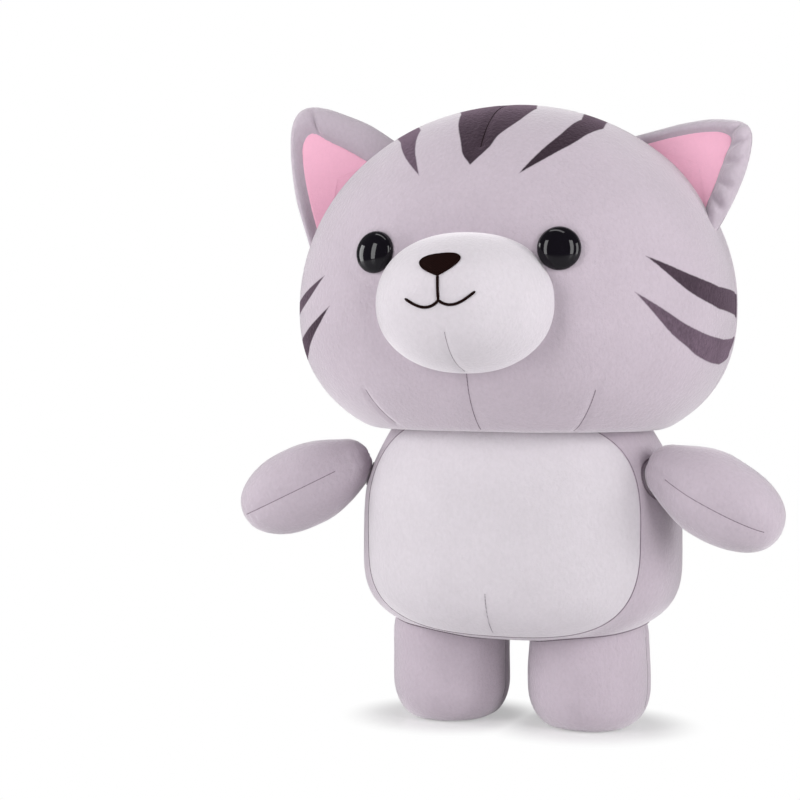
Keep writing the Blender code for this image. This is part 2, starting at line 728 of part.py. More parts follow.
def ear_spokes(side):
    """An ear as on the cat's left: its middle, its root's ends, and the (edge point, lining's reach) pairs
    round it."""
    low = ear_root(side, 0.0)
    high = ear_root(side, 1.0)
    along = high - low
    out = Vector((along.z, 0, -along.x)).normalized()
    up = Vector((-out.z, 0, out.x))
    tip = out * EAR_HEIGHT[side] + up * EAR_LEAN[side] - Vector((0, EAR_TIP_FORWARD, 0))
    middle = low.lerp(high, 0.5) + tip * EAR_MIDDLE
    edge_count = 16
    root_count = 8
    spokes = []
    for k in range(edge_count):
        share = k / edge_count
        spokes.append((low.lerp(high, share) + tip * ear_tent(side, share), LINING_SHARE))
    for k in range(root_count):
        share = k / root_count
        reach = LINING_SHARE + (LINING_ROOT_SHARE - LINING_SHARE) * math.sin(math.pi * share)
        spokes.append((ear_root(side, 1 - share), reach))
    return middle, low, high, spokes


def ear_half(reach):
    """Half the ear's thickness, reach being 0 at its middle and 1 at its edge."""
    return EAR_EDGE_HALF + (EAR_MID_HALF - EAR_EDGE_HALF) * (1 - reach ** 2) ** EAR_SWELL_POWER


def ear_pad(name, middle, spokes, front, back, finish):
    """A pad across an ear; front and back give the depth of its two faces from the ear's half thickness."""
    fronts = []
    backs = []
    for share in (0.0, 0.4, 0.7, 0.9, 1.0):
        across = spokes if share else spokes[:1]
        spots = [(middle.lerp(edge, reach * share), ear_half(reach * share)) for edge, reach in across]
        fronts.append([spot + Vector((0, front(half), 0)) for spot, half in spots])
        backs.append([spot + Vector((0, back(half), 0)) for spot, half in spots])
    return loft(name, fronts + backs[::-1], finish)


def make_ear(side, sign):
    """A grey ear, swollen in its middle and thin at its root, and the pink lining sewn on its front."""
    mirror = Matrix.Diagonal((sign, 1.0, 1.0))
    middle, low, high, spokes = ear_spokes(side)
    middle = mirror @ middle
    whole = [(mirror @ edge, 1.0) for edge, reach in spokes]
    inner = [(mirror @ edge, reach) for edge, reach in spokes]
    shell = ear_pad(f"ear_{side}_shell", middle, whole, lambda half: -half, lambda half: half, GREY)
    lining = ear_pad(f"ear_{side}_lining", middle, inner, lambda half: -half - GAP - LINING_THICK,
                     lambda half: -half - GAP, PINK)
    hinge = mirror @ low.lerp(high, 0.5)
    axis = (mirror @ (high - low)).normalized()
    return (shell, lining), hinge, axis


# Limbs

def arm_place(sign):
    """Placement of an arm: its Z runs out along the arm and its Y points up from the seam."""
    level = BODY_WIDEST + ARM_UP
    reach = body_reach(level, BODY_HALF_WIDTH) + ARM_ROOT_PROUD
    droop = math.radians(ARM_DROOP)
    swing = math.radians(ARM_SWING_FORWARD)
    level_run = math.cos(droop)
    heading = Vector((sign * level_run * math.cos(swing), -level_run * math.sin(swing), -math.sin(droop)))
    place = frame_on(Vector((sign * reach, BODY_Y - ARM_FORWARD, level)), heading)
    return place @ Matrix.Rotation(math.radians(-sign * ARM_SEAM_ROLL), 4, "Z")


def make_arm(side, sign):
    """An arm of an upper and a lower panel, with its stuffing."""
    place = arm_place(sign)
    spine = straight_spine(place)
    pairs = limb_profile(ARM_ROOT_RADIUS, ARM_ROOT_OPEN, 0.0, ARM_RADIUS, ARM_SWELL_AT,
                         round_end(ARM_RADIUS, ARM_SWELL_AT, ARM_LENGTH, ARM_END_POWER))
    panels = []
    for part, low, high in (("upper", SEAM_GAP / 2, FAR), ("lower", -FAR, -SEAM_GAP / 2)):
        panel = limb_cover(f"arm_{side}_{part}_panel", pairs, spine, GREY)
        half = block(f"arm_{side}_{part}_half", (-FAR, low, -FAR), (FAR, high, FAR), place)
        cut(panel, half, "INTERSECT")
        panels.append(panel)
    fill = loft(f"arm_{side}_stuffing", limb_rings(inset_profile(pairs, SKIN + GAP), spine), FILL)
    return panels + [fill]


def hip_point(sign):
    """Centre of a hip, level with the body's underside above the leg."""
    x = sign * LEG_SPACING / 2
    return Vector((x, LEG_Y, body_underside(x, LEG_Y)))


def make_leg(side, sign):
    """A leg of a front and a back panel, with its flat sole and its stuffing."""
    hip = hip_point(sign)
    place = frame_on(hip, Vector((0, 0, -1)), Vector((0, -1, 0)))
    spine = straight_spine(place)
    length = hip.z - SOLE_PROUD
    pairs = limb_profile(LEG_ROOT_RADIUS, LEG_ROOT_OPEN, LEG_ROOT_RUN, LEG_RADIUS, length - FOOT_CORNER,
                         foot_end(LEG_RADIUS, length))
    panels = []
    for part, low, high in (("front", SEAM_GAP / 2, FAR), ("back", -FAR, -SEAM_GAP / 2)):
        panel = limb_cover(f"leg_{side}_{part}_panel", pairs, spine, GREY)
        half = block(f"leg_{side}_{part}_half", (-FAR, low, -FAR), (FAR, high, FAR), place)
        cut(panel, half, "INTERSECT")
        panels.append(panel)
    centre = Vector((hip.x, hip.y, 0.0))
    sole = loft(f"sole_{side}", [circle(SOLE_RADIUS, 0.0, centre), circle(SOLE_RADIUS, SKIN, centre)], GREY)
    inner = inset_profile(pairs, SKIN + GAP)
    floor = hip.z - SKIN - GAP
    inner = [(min(along, floor), radius) for along, radius in inner]
    fill = loft(f"leg_{side}_stuffing", limb_rings(inner, spine), FILL)
    return panels + [sole, fill]


def tail_place():
    """Placement of the tail's root on the middle of the back."""
    level = BODY_WIDEST - TAIL_DOWN
    y = BODY_Y + body_reach(level, BODY_BACK) + TAIL_ROOT_PROUD
    pitch = math.radians(TAIL_PITCH)
    return frame_on(Vector((0, y, level)), Vector((0, math.cos(pitch), math.sin(pitch))))


def make_tail():
    """The tail's cover and its stuffing."""
    spine = curled_spine(tail_place(), math.radians(TAIL_BEND), TAIL_LENGTH)
    pairs = limb_profile(TAIL_ROOT_RADIUS, TAIL_ROOT_OPEN, 0.0, TAIL_RADIUS, TAIL_SWELL_AT,
                         round_end(TAIL_RADIUS, TAIL_SWELL_AT, TAIL_LENGTH, TAIL_END_POWER))
    cover = limb_cover("tail_cover", pairs, spine, GREY)
    fill = loft("tail_stuffing", limb_rings(inset_profile(pairs, SKIN + GAP), spine), FILL)
    return cover, fill


# Assembly

def make_cat():
    """Makes every piece and parents it to the joint that it moves on."""
    cat = pivot("cat", Vector(), None)
    shoulders = {side: arm_place(sign).translation for side, sign in SIDES}
    hips = {side: hip_point(sign) for side, sign in SIDES}
    root = tail_place().translation

    sockets = []
    for side, sign in SIDES:
        sockets.append(ball(f"shoulder_socket_{side}", shoulders[side], ARM_ROOT_RADIUS + GAP))
        sockets.append(ball(f"hip_socket_{side}", hips[side], LEG_ROOT_RADIUS + GAP))
    sockets.append(ball("tail_socket", root, TAIL_ROOT_RADIUS + GAP))
    carry(cat, *make_body(sockets))

    neck = pivot("neck", Vector((0, 0, NECK_LEVEL)), cat)
    covers = make_head_covers()
    fill = make_head_stuffing()
    under = block("neck_cut", (-FAR, -FAR, -FAR), (FAR, FAR, NECK_LEVEL + GAP))
    for piece in covers + [fill]:
        cut(piece, under)
    carry(neck, *covers, fill, *make_muzzle(covers, fill))
    for side, sign in SIDES:
        carry(neck, *make_eye(side, sign, covers, fill))
        pieces, hinge, axis = make_ear(side, sign)
        carry(pivot(f"ear_{side}_root", hinge, neck), *pieces)
        print(f"ear_{side} fold axis", [round(value, 5) for value in axis])
        carry(pivot(f"shoulder_{side}", shoulders[side], cat), *make_arm(side, sign))
        carry(pivot(f"hip_{side}", hips[side], cat), *make_leg(side, sign))
    carry(pivot("tail_root", root, cat), *make_tail())
    for item in bpy.data.objects:
        if item.parent is None and item is not cat:
            carry(cat, item)
    return cat


def centre_front_to_back(cat):
    """Moves the cat so that its outermost front and back lie equally far from the origin."""
    bpy.context.view_layer.update()
    graph = bpy.context.evaluated_depsgraph_get()
    reach = []
    for item in bpy.data.objects:
        if item.type in ("MESH", "CURVE") and not item.hide_render:
            shape = item.evaluated_get(graph)
            place = shape.matrix_world.copy()
            reach += [(place @ corner.co).y for corner in shape.to_mesh().vertices]
            shape.to_mesh_clear()
    cat.location.y = -(min(reach) + max(reach)) / 2
    bpy.context.view_layer.update()
    for item in bpy.data.objects:
        if item.type == "EMPTY":
            print(item.name, [round(value, 5) for value in item.matrix_world.translation])


centre_front_to_back(make_cat())
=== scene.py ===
"""A stuffed plush cat on a pale studio floor: fabric, stripes, embroidery, eyes, light and camera."""
import json
import math

import bmesh
import bpy
import numpy as np
from mathutils import Matrix, Vector, noise
from mathutils.bvhtree import BVHTree
from mathutils.kdtree import KDTree


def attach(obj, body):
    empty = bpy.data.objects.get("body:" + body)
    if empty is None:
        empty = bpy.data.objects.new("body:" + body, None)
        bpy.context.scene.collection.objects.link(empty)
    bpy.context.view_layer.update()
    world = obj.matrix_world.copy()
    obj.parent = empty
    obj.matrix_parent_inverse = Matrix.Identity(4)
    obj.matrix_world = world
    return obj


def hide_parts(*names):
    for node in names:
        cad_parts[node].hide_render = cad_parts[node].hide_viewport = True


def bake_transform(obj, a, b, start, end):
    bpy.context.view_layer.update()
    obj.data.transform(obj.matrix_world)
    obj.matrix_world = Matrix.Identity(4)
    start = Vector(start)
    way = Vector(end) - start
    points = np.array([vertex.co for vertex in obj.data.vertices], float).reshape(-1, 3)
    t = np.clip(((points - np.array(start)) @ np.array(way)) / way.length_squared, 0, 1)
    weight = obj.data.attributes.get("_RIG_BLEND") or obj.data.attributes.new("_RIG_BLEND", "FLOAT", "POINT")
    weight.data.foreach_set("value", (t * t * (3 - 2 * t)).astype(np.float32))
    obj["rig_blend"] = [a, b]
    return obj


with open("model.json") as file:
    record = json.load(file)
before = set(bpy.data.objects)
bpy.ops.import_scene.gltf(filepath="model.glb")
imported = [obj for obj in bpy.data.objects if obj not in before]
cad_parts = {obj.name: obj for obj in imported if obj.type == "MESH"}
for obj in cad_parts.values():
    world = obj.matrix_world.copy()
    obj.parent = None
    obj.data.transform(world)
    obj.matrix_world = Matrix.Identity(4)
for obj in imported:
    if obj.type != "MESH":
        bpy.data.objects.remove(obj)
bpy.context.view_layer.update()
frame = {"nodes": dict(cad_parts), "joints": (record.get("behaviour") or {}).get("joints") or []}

MM = 0.001
TURN = 2 * math.pi
SQUARE = math.pi / 2
UP = Vector((0, 0, 1))
SIDES = (("left", 1.0), ("right", -1.0))

# Places taken from the frame
JOINTS = {joint["name"]: Vector(joint["pos_m"]) for joint in frame["joints"]}
NECK = JOINTS["neck_turn"]
MIDDLE_Y = NECK.y  # the cat's own middle, front to back
NECK_LEVEL = NECK.z

# Stuffing: how far a cover swells between its seams, and how it eases away from them
SWELL = 2.2 * MM
LIMB_SWELL = 1.1 * MM
SEAM_EASE = 9.0 * MM
PIN_REACH = 3.4 * MM
CLOTH_FRAMES = 16
CLOTH_QUALITY = 4
CLOTH_PRESSURE = 4.0
FILL_LEAST = 0.6  # least share of its swell that any spot reaches
FILL_RANK = 35  # percentage of a cover that the filling leaves below its full swell

# Lumps of the filling, as a size and a height, and where in the noise each pattern starts
TORSO_LUMPS = (55 * MM, 0.8 * MM)
HEAD_LUMPS = (70 * MM, 1.0 * MM)
MUZZLE_LUMPS = (40 * MM, 0.6 * MM)
EAR_LUMPS = (22 * MM, 0.7 * MM)
LIMB_LUMPS = (24 * MM, 0.6 * MM)
TAIL_LUMPS = (16 * MM, 0.7 * MM)
SEEDS = {"torso": 3.1, "head": 7.7, "muzzle": 1.9, "ear": 5.0, "arm": 11.0, "leg": 21.0, "tail": 31.0}

# Body
BODY_WIDEST = 112 * MM
BODY_DROP = 57 * MM
BODY_RISE = 110 * MM
BODY_HALF_WIDTH = 105 * MM
BODY_FRONT = 74 * MM
BODY_BACK = 72 * MM
BODY_Y = MIDDLE_Y + 2 * MM
BODY_SIDE_POWER = 3.0
BODY_PLAN_POWER = 2.4
BODY_TAPER_RUN = 42 * MM
BODY_TAPER = 0.045  # how much the cover draws in towards the neck
BODY_LEAN = 2.4 * MM  # how far the body sits towards the cat's left
BACK_SEAM = (-1.4, 1.2)  # tilts between which the seam runs down the back
BELLY_MIDDLE = BODY_WIDEST + 14 * MM
BELLY_HALF_WIDTH = 93 * MM
BELLY_RISE = 78 * MM
BELLY_DROP = 66 * MM
BELLY_POWER = 3.0
BELLY_PROUD = 0.9 * MM  # how far the belly panel stands out of the body
BELLY_TUCK = 1.6 * MM  # and how far its edge is sewn in
BELLY_EDGE = 0.967  # share of the outline at which it goes under the body
BELLY_THICK = 6 * MM
BELLY_BACK = 1.2  # depth of its hidden back at the middle, in thicknesses
BELLY_DART = (66 * MM, 92 * MM)  # levels between which the belly's dart runs
TUCK_SHARES = (0.955, 1.0)  # shares of a panel's outline between which its edge is sewn in

# Head
HEAD_LEVEL = NECK_LEVEL + 82 * MM
HEAD_MIDDLE = Vector((0, MIDDLE_Y, HEAD_LEVEL))
HEAD_HALF_WIDTH = 141 * MM
HEAD_RISE = 128 * MM
HEAD_DROP = 97 * MM
HEAD_FRONT = 108 * MM
HEAD_BACK = 100 * MM
HEAD_TOP_POWER = 2.0
HEAD_BASE_POWER = 2.5
HEAD_DEPTH_POWER = 2.5
HEAD_SEAM_Y = MIDDLE_Y + 18 * MM
NECK_TUCK = 2.8 * MM  # how far the head's cover is drawn up at the neck
NECK_ROUND = 1.5 * MM  # rounding of the head's edge at the neck
HEAD_SLUMP = 2.5 * MM  # how far the chin sits towards the cat's left

# Muzzle, nose and mouth
MUZZLE_LEVEL = HEAD_LEVEL - 1 * MM
MUZZLE_HALF_WIDTH = 56 * MM
MUZZLE_HALF_HEIGHT = 42.5 * MM
MUZZLE_ROOT_Y = MIDDLE_Y - HEAD_FRONT + 16 * MM
MUZZLE_REACH = 56 * MM
MUZZLE_POWER = 2.2
MUZZLE_DART_X = 2 * MM
MUZZLE_DART = (18 * MM, 41 * MM)  # where the dart starts and ends below the muzzle's middle
STITCH_TURN = math.radians(5)
NOSE_UP = 21 * MM
NOSE_HALF_WIDTH = 13.3 * MM
NOSE_HALF_HEIGHT = 5.9 * MM
NOSE_POWER = 2.6
NOSE_TAPER = 0.42
NOSE_THICK = 1.5 * MM
NOSE_FALL = 0.6  # share of its thickness that the pad loses at its edge
NOSE_CORD = 0.75 * MM
MOUTH_UP = 0.3 * MM
MOUTH_HALF_WIDTH = 21.5 * MM
MOUTH_SAG = 3.8 * MM
MOUTH_SKEW = 0.8
MOUTH_CORNER_UP = 3 * MM
MOUTH_CORD = 0.85 * MM
MOUTH_RIDGE = 0.12  # how much the stitches thicken and thin along the line

# Eyes
EYE_RADIUS = 13 * MM
EYE_DOME = 7 * MM
EYE_RIM = 1.2 * MM
EYE_SOFT = 0.35 * MM  # rounding of the rim's lower edge
EYE_SHANK = 3 * MM
EYE_SHANK_LENGTH = 14 * MM
EYE_DIMPLE = 22 * MM  # reach of the fabric drawn up round an eye
EYE_SEAT = 0.15 * MM  # how far the fabric is drawn past the eye's back

# Ears, each as on the cat's left, with angles measured at the head's middle
EAR_LOW_ANGLE = {"left": 20.5, "right": 9.5}
EAR_HIGH_ANGLE = {"left": 59, "right": 54}
EAR_HEIGHT = {"left": 54 * MM, "right": 71.5 * MM}
EAR_LEAN = {"left": -11 * MM, "right": 29 * MM}
EAR_ROOT_Y = MIDDLE_Y + 16.5 * MM
EAR_CUP = 23 * MM
EAR_TIP_FORWARD = 9 * MM
EAR_TIP_ROUND = {"left": 0.30, "right": 0.50}
EAR_BULGE = 0.85
EAR_MIDDLE = 0.42
EAR_SINK = 4 * MM  # how far an ear's root runs into the head
EAR_PUFF = 3.6 * MM  # how far its stuffing fills the edge out
EAR_FLOOR = 4.5 * MM  # depth of the hollow front at the lining
EAR_HOLLOW = 0.28  # share of that depth lost at the ear's middle
EAR_RIM = 5.0 * MM  # how far the stuffed rim stands above that, at most
EAR_RIM_ROUND = 0.45  # and at most this share of the rim's width
EAR_BACK = 7.0 * MM
RIM_LOW = {"left": 15 * MM, "right": 8.5 * MM}  # width of the rim round the lining, outer side
RIM_HIGH = {"left": 7.5 * MM, "right": 21 * MM}  # and upper side
RIM_LEAST = 0.02
LINING_LEAST = 0.35
LINING_AT_ROOT = 0.99
LINING_PROUD = 0.5 * MM
LINING_TUCK = 1.4 * MM
LINING_BACK = 2 * MM
EAR_FOLDS = {"left": (0.08, 0.17, 0.30, 0.42, 0.53), "right": (0.60,)}
FOLD_WIDTH = 0.022
FOLD_DEPTH = 0.75
FOLD_SLANT = 0.05

# Arms
ARM_ROOT_RADIUS = 18.2 * MM
ARM_ROOT_RUN = -6 * MM  # where the round root gives way to the flank
ARM_RADIUS = 27.5 * MM
ARM_SWELL_AT = 30 * MM
ARM_LENGTH = 76.5 * MM
ARM_DROOP = math.radians(26)
ARM_SWING_FORWARD = math.radians(11)
ARM_END_POWER = 2.3
ARM_BEND = 13 * MM  # reach of the bend where an arm meets the body
ARM_SEAM_ROLL = math.radians(-3)
ARM_SEAM_ENDS = (4 * MM, 5 * MM)  # how far its threads stop short of the shoulder and of the tip

# Legs
LEG_ROOT_RADIUS = 39 * MM
LEG_ROOT_RUN = 1 * MM
LEG_RADIUS = {"left": 40 * MM, "right": 39 * MM}
LEG_SWELL_AT = 22 * MM
SOLE_RADIUS = 23 * MM
FOOT_CORNER = 27 * MM
LEG_BEND = 24 * MM  # reach of the bend where a leg meets the body
LEG_SEAM_START = -2 * MM

# Tail
TAIL_ROOT_RADIUS = 13 * MM
TAIL_RADIUS = 14.5 * MM
TAIL_SWELL_AT = 40 * MM
TAIL_LENGTH = 92 * MM
TAIL_PITCH = math.radians(12)
TAIL_BEND = math.radians(55)
TAIL_END_POWER = 2.2

# Seams: the pressed line, the thread in it, darker than the fabric as painted crease shade, and the puckers
# beside it
SEAM_PRESS = 0.9 * MM
LIMB_PRESS = 0.55 * MM
LIMB_PRESS_ENDS = (20 * MM, 6 * MM)  # between these distances from a limb's end the pressed line fades
SEAM_WIDTH = 2.4 * MM
SEAM_CORD = 0.32 * MM
DART_CORD = 0.2 * MM
EDGE_CORD = 0.3 * MM
ROOT_CORD = 0.6 * MM
PUCKER_PITCH = 5.0 * MM
PUCKER_DEPTH = 0.25 * MM
PUCKER_REACH = 6.0 * MM

# Seams of the head, at a turn from straight ahead, between two lifts, all in degrees
HEAD_DARTS = ((0, -23, -47), (42, -25, -43), (-40, -26, -40), (2, 49, 79))

# Stripes of the head: a tip, then the points of the two edges that run back from it,
# each as a turn towards the cat's left and a lift above level, in degrees from straight ahead
BROW_STRIPES = (
    ((-0.5, 42.2), ((-4.8, 46.1), (-8, 51), (-14.4, 58), (-24, 66), (-97, 72)),
     ((5.9, 48.2), (9.1, 52.8), (19.2, 59.8), (32.5, 68.5), (144, 83))),
    ((-20.2, 38.4), ((-25, 41.1), (-30.4, 44), (-36.6, 47.3), (-42.3, 50.1), (-83, 53.6)),
     ((-23.6, 42.5), (-27.8, 46.7), (-32.9, 51.6), (-38.4, 56.2), (-86.4, 60.2))),
    ((18.3, 38.1), ((26.3, 44.8), (35.7, 50.6), (46.7, 56.7), (53.6, 59.1), (109, 70.6)),
     ((25.9, 41.3), (33.3, 44.3), (40.4, 47), (49.3, 50.8), (60, 53.7), (105, 63.6))),
)
CHEEK_STRIPES = (
    ((52.8, 11.2), ((61.8, 7.7), (68.4, 5.7), (77.8, 3.7), (100, 2.5)),
     ((61.5, 4.3), (68.1, 0.9), (77.5, -1.7), (100, -3.6))),
    ((49.2, 2.1), ((58.4, -3), (64.7, -6), (73, -8.2), (82.8, -9.3), (100, -8.5)),
     ((58.6, -7.3), (65.7, -11.5), (70.3, -13.6), (77.4, -15.2), (85.1, -15.8), (98, -13))),
    ((-49, 7.6), ((-54.5, 5.1), (-60, 2.9), (-65.5, 1.2), (-78, -0.6), (-92, -1)),
     ((-53.2, 3.9), (-57.3, 1), (-63.7, -1.7), (-78, -5.6), (-92, -6.8))),
    ((-46.4, -0.8), ((-52, -3.9), (-57.2, -6.2), (-63.2, -8.3), (-75, -10.6), (-92, -12)),
     ((-50.6, -5), (-54.4, -8), (-58.5, -10.8), (-63, -13.4), (-75, -17), (-92, -18))),
)
BROW_PALE_AND_SHEEN = (0.1, 0.8, 0.0)  # how much paler each one is coloured: painted sheen, partly a paler pile
CHEEK_PALE_AND_SHEEN = (0.3, 0.9, 0.4, 0.1)
BEHIND_SEAM = 6 * MM  # how far a cheek's stripe runs past the seam round the head
STRIPE_FINE = 3.5  # mm either side of a stripe's edge that is cut finer
STRIPE_FAR = 20.0  # mm beyond which the distance to an edge isn't told apart
STRIPE_FRAY = 0.4  # mm by which the pile breaks a stripe's edge up

# Camera, as an azimuth and distance about the cat
CAMERA_AZIMUTH = math.radians(17.7)
CAMERA_DISTANCE = 1.2
CAMERA_HEIGHT = 0.240
CAMERA_YAW = math.radians(3.62)
CAMERA_PITCH = math.radians(-1.46)
CAMERA_LENS = 83.1
CAMERA_SENSOR = 36.0

# Colours and finishes
GREY = (0.47, 0.405, 0.463)
WHITE = (0.59, 0.55, 0.59)
STRIPE = (0.042, 0.025, 0.037)
# paler stripe colour: painted sheen where side light grazes the cheeks, partly a paler pile
PALE_AND_SHEEN_STRIPE = (0.23, 0.16, 0.22)
STRIPE_SHEEN = (0.76, 0.56, 0.72)
PLUSH_SHEEN = (1.0, 0.97, 1.0)
PINK = (0.87, 0.46, 0.60)
# seam threads, darker than the fabric: partly the stitches, partly painted shade of the creases they lie in
SEAM_THREAD_AND_CREASE_SHADE = (0.22, 0.175, 0.21)
PALE_THREAD_AND_CREASE_SHADE = (0.40, 0.36, 0.40)
BROWN = (0.010, 0.0034, 0.003)
BLACK = (0.0035, 0.0025, 0.005)
NYLON = (0.80, 0.80, 0.78)
FLOOR = (0.90, 0.90, 0.90)
PURE_WHITE = (1, 1, 1, 1)
PILE_CONTRAST = 0.16  # how far the pile's light and dark lie from its colour
NAP_COMBED = (1.0, 1.0, 0.75)  # the pile is drawn out a little downwards
THREAD_PITCH = 0.8 * MM
EMBROIDERY_PITCH = 0.9 * MM

# Studio: the lamps as a name, a place, a width, a height and a power
FLOOR_SIZE = 8.0
FLOOR_GLOW = 0.38  # share of white glow kept beside the legs; less glow there paints contact shade over the real shadows
GLOW_EDGES = (-4 * MM, 36 * MM)  # where that starts to grow, and where it is whole, from a leg's side
ROOM_LIGHT = 0.20
LIGHT_TARGET = Vector((0, 0, 0.25))
LAMPS = (
    ("softbox_left", (-0.85, -1.41, 0.70), 0.40, 1.30, 13.5),
    ("softbox_right", (1.35, -0.95, 0.70), 0.42, 1.30, 13.5),
    ("wall_left", (-1.72, -0.40, 0.42), 0.6, 1.2, 18),
    ("wall_right", (1.74, -0.05, 0.46), 0.6, 1.2, 15),
    ("strip_top", (-0.12, -0.3, 1.9), 1.4, 0.25, 5.5),
)


# Mesh tools

def signed_power(value, power):
    """A power that keeps the sign."""
    return np.sign(value) * np.abs(value) ** power


def superellipse(turn, power, half_width, half_height):
    """Across and above of a rounded outline at a turn from its right."""
    across = signed_power(np.cos(turn), 2 / power) * half_width
    return across, signed_power(np.sin(turn), 2 / power) * half_height


def smoothstep(value, low, high):
    """A soft step from 0 at low to 1 at high."""
    share = np.clip((value - low) / (high - low), 0.0, 1.0)
    return share * share * (3 - 2 * share)


def turns_of(count, shift=0.5):
    """Turns of the points of a ring."""
    return TURN * (np.arange(count) + shift) / count


def even_turns(count):
    """Turns round an outline, from 0."""
    return np.linspace(0, TURN, count, endpoint=False)


def put(name, data):
    """A new object in the scene."""
    piece = bpy.data.objects.new(name, data)
    bpy.context.scene.collection.objects.link(piece)
    return piece


def add_mesh(name, points, faces):
    """A smooth closed mesh object whose faces look outward."""
    mesh = bpy.data.meshes.new(name)
    mesh.from_pydata([tuple(point) for point in points], [], faces)
    shape = bmesh.new()
    shape.from_mesh(mesh)
    bmesh.ops.recalc_face_normals(shape, faces=shape.faces)
    shape.to_mesh(mesh)
    shape.free()
    mesh.shade_smooth()
    return put(name, mesh)


def skin(name, first, rings, last):
    """A closed mesh through rings of points, with a pole at each end."""
    count = rings.shape[1]
    points = np.vstack([np.reshape(first, (1, 3)), rings.reshape(-1, 3), np.reshape(last, (1, 3))])
    end = 1 + (len(rings) - 1) * count
    faces = []
    for k in range(count):
        n = (k + 1) % count
        faces.append((0, 1 + n, 1 + k))
        for low in range(1, end, count):
            faces.append((low + k, low + n, low + count + n, low + count + k))
        faces.append((end + k, end + n, len(points) - 1))
    return add_mesh(name, points, faces)


def vectors(items, field):
    """One vector of each of a mesh's items, as an array."""
    flat = np.empty(len(items) * 3, np.float32)
    items.foreach_get(field, flat)
    return flat.reshape(-1, 3).astype(float)


def coords(piece):
    """A piece's points as an array."""
    return vectors(piece.data.vertices, "co")


def normals(piece):
    """The outward direction at each point."""
    return vectors(piece.data.vertex_normals, "vector")


def set_coords(piece, points):
    """Moves a piece's points."""
    piece.data.vertices.foreach_set("co", np.asarray(points, np.float32).ravel())
    piece.data.update()


def nudge(piece, amounts):
    """Moves each point of a piece outward by its own amount."""
    set_coords(piece, coords(piece) + normals(piece) * amounts[:, None])


def refine(piece):
    """Subdivides a piece once, rounding it."""
    step = piece.modifiers.new("rounding", "SUBSURF")
    step.levels = 1
    graph = bpy.context.evaluated_depsgraph_get()
    mesh = bpy.data.meshes.new_from_object(piece.evaluated_get(graph))
    piece.modifiers.remove(step)
    piece.data = mesh
    mesh.shade_smooth()


def surface(piece):
    """A piece's surface, for casting rays at."""
    return BVHTree.FromObject(piece, bpy.context.evaluated_depsgraph_get())


def front_of(tree, x, z):
    """The point of a surface seen from straight in front, and its outward direction."""
    return tree.ray_cast(Vector((x, -1, z)), Vector((0, 1, 0)))[:2]


def to_route(points, route):
    """Distance of each point from a route of points, and how far along it the nearest place is."""
    route = np.asarray(route, float)
    steps = np.diff(route, axis=0)
    lengths = np.linalg.norm(steps, axis=1)
    starts = np.concatenate([[0.0], np.cumsum(lengths)])
    best = np.full(len(points), np.inf)
    along = np.zeros(len(points))
    for k, step in enumerate(steps):
        share = np.clip((points - route[k]) @ step / lengths[k] ** 2, 0.0, 1.0)
        gap = np.linalg.norm(points - route[k] - share[:, None] * step, axis=1)
        nearer = gap < best
        best[nearer] = gap[nearer]
        along[nearer] = (starts[k] + share * lengths[k])[nearer]
    return best, along


def smooth_line(points, steps):
    """A smooth line through points, each gap between them cut into steps."""
    points = np.asarray(points, float)
    ends = np.vstack([2 * points[0] - points[1], points, 2 * points[-1] - points[-2]])
    line = []
    for a, b, c, d in zip(ends, ends[1:], ends[2:], ends[3:]):
        for share in np.arange(steps) / steps:
            bend = (2 * a - 5 * b + 4 * c - d) * share ** 2 + (3 * b - a - 3 * c + d) * share ** 3
            line.append(b + ((c - a) * share + bend) / 2)
    return np.array(line + [points[-1]])


def press(piece, distance, depth=SEAM_PRESS):
    """Presses a piece in along a line, given each point's distance from it."""
    nudge(piece, -depth * np.exp(-(distance / SEAM_WIDTH) ** 2))


def pucker(piece, distance, along, seed):
    """Small gathers beside a seam, uneven along it and fading away from it."""
    waver = np.array([noise.noise(Vector((place / PUCKER_PITCH / 2, seed, 0.5))) for place in along])
    wave = np.sin(TURN * (along / PUCKER_PITCH + waver))
    near = distance / PUCKER_REACH
    nudge(piece, PUCKER_DEPTH * (wave * near * np.exp(1 - near ** 2) * (0.4 + 0.8 * np.abs(waver))))


def unevenness(piece, lumps, seed):
    """Soft lumps of the filling, felt through the cover."""
    size, height = lumps
    start = Vector((seed, seed, seed))
    nudge(piece, height * np.array([noise.noise(Vector(point) / size + start) for point in coords(piece)]))


def stuff(piece, seams, swell):
    """Swells a cover with its filling, held along its seams, then rounds it."""
    rest = coords(piece)
    tree = KDTree(len(seams))
    for k, point in enumerate(seams):
        tree.insert(point, k)
    tree.balance()
    gap = np.array([tree.find(point)[2] for point in rest])
    eased = swell * (1 - np.exp(-(gap / SEAM_EASE) ** 2))
    grown = eased
    moved = cloth_swell(piece, np.nonzero(gap < PIN_REACH)[0].tolist()) - rest
    along = (moved * normals(piece)).sum(axis=1)
    free = np.percentile(along[gap > SEAM_EASE], FILL_RANK)
    fill = swell / max(free, FILL_LEAST * swell)
    grown = np.clip(along * fill, FILL_LEAST * eased, eased)
    nudge(piece, grown)
    refine(piece)


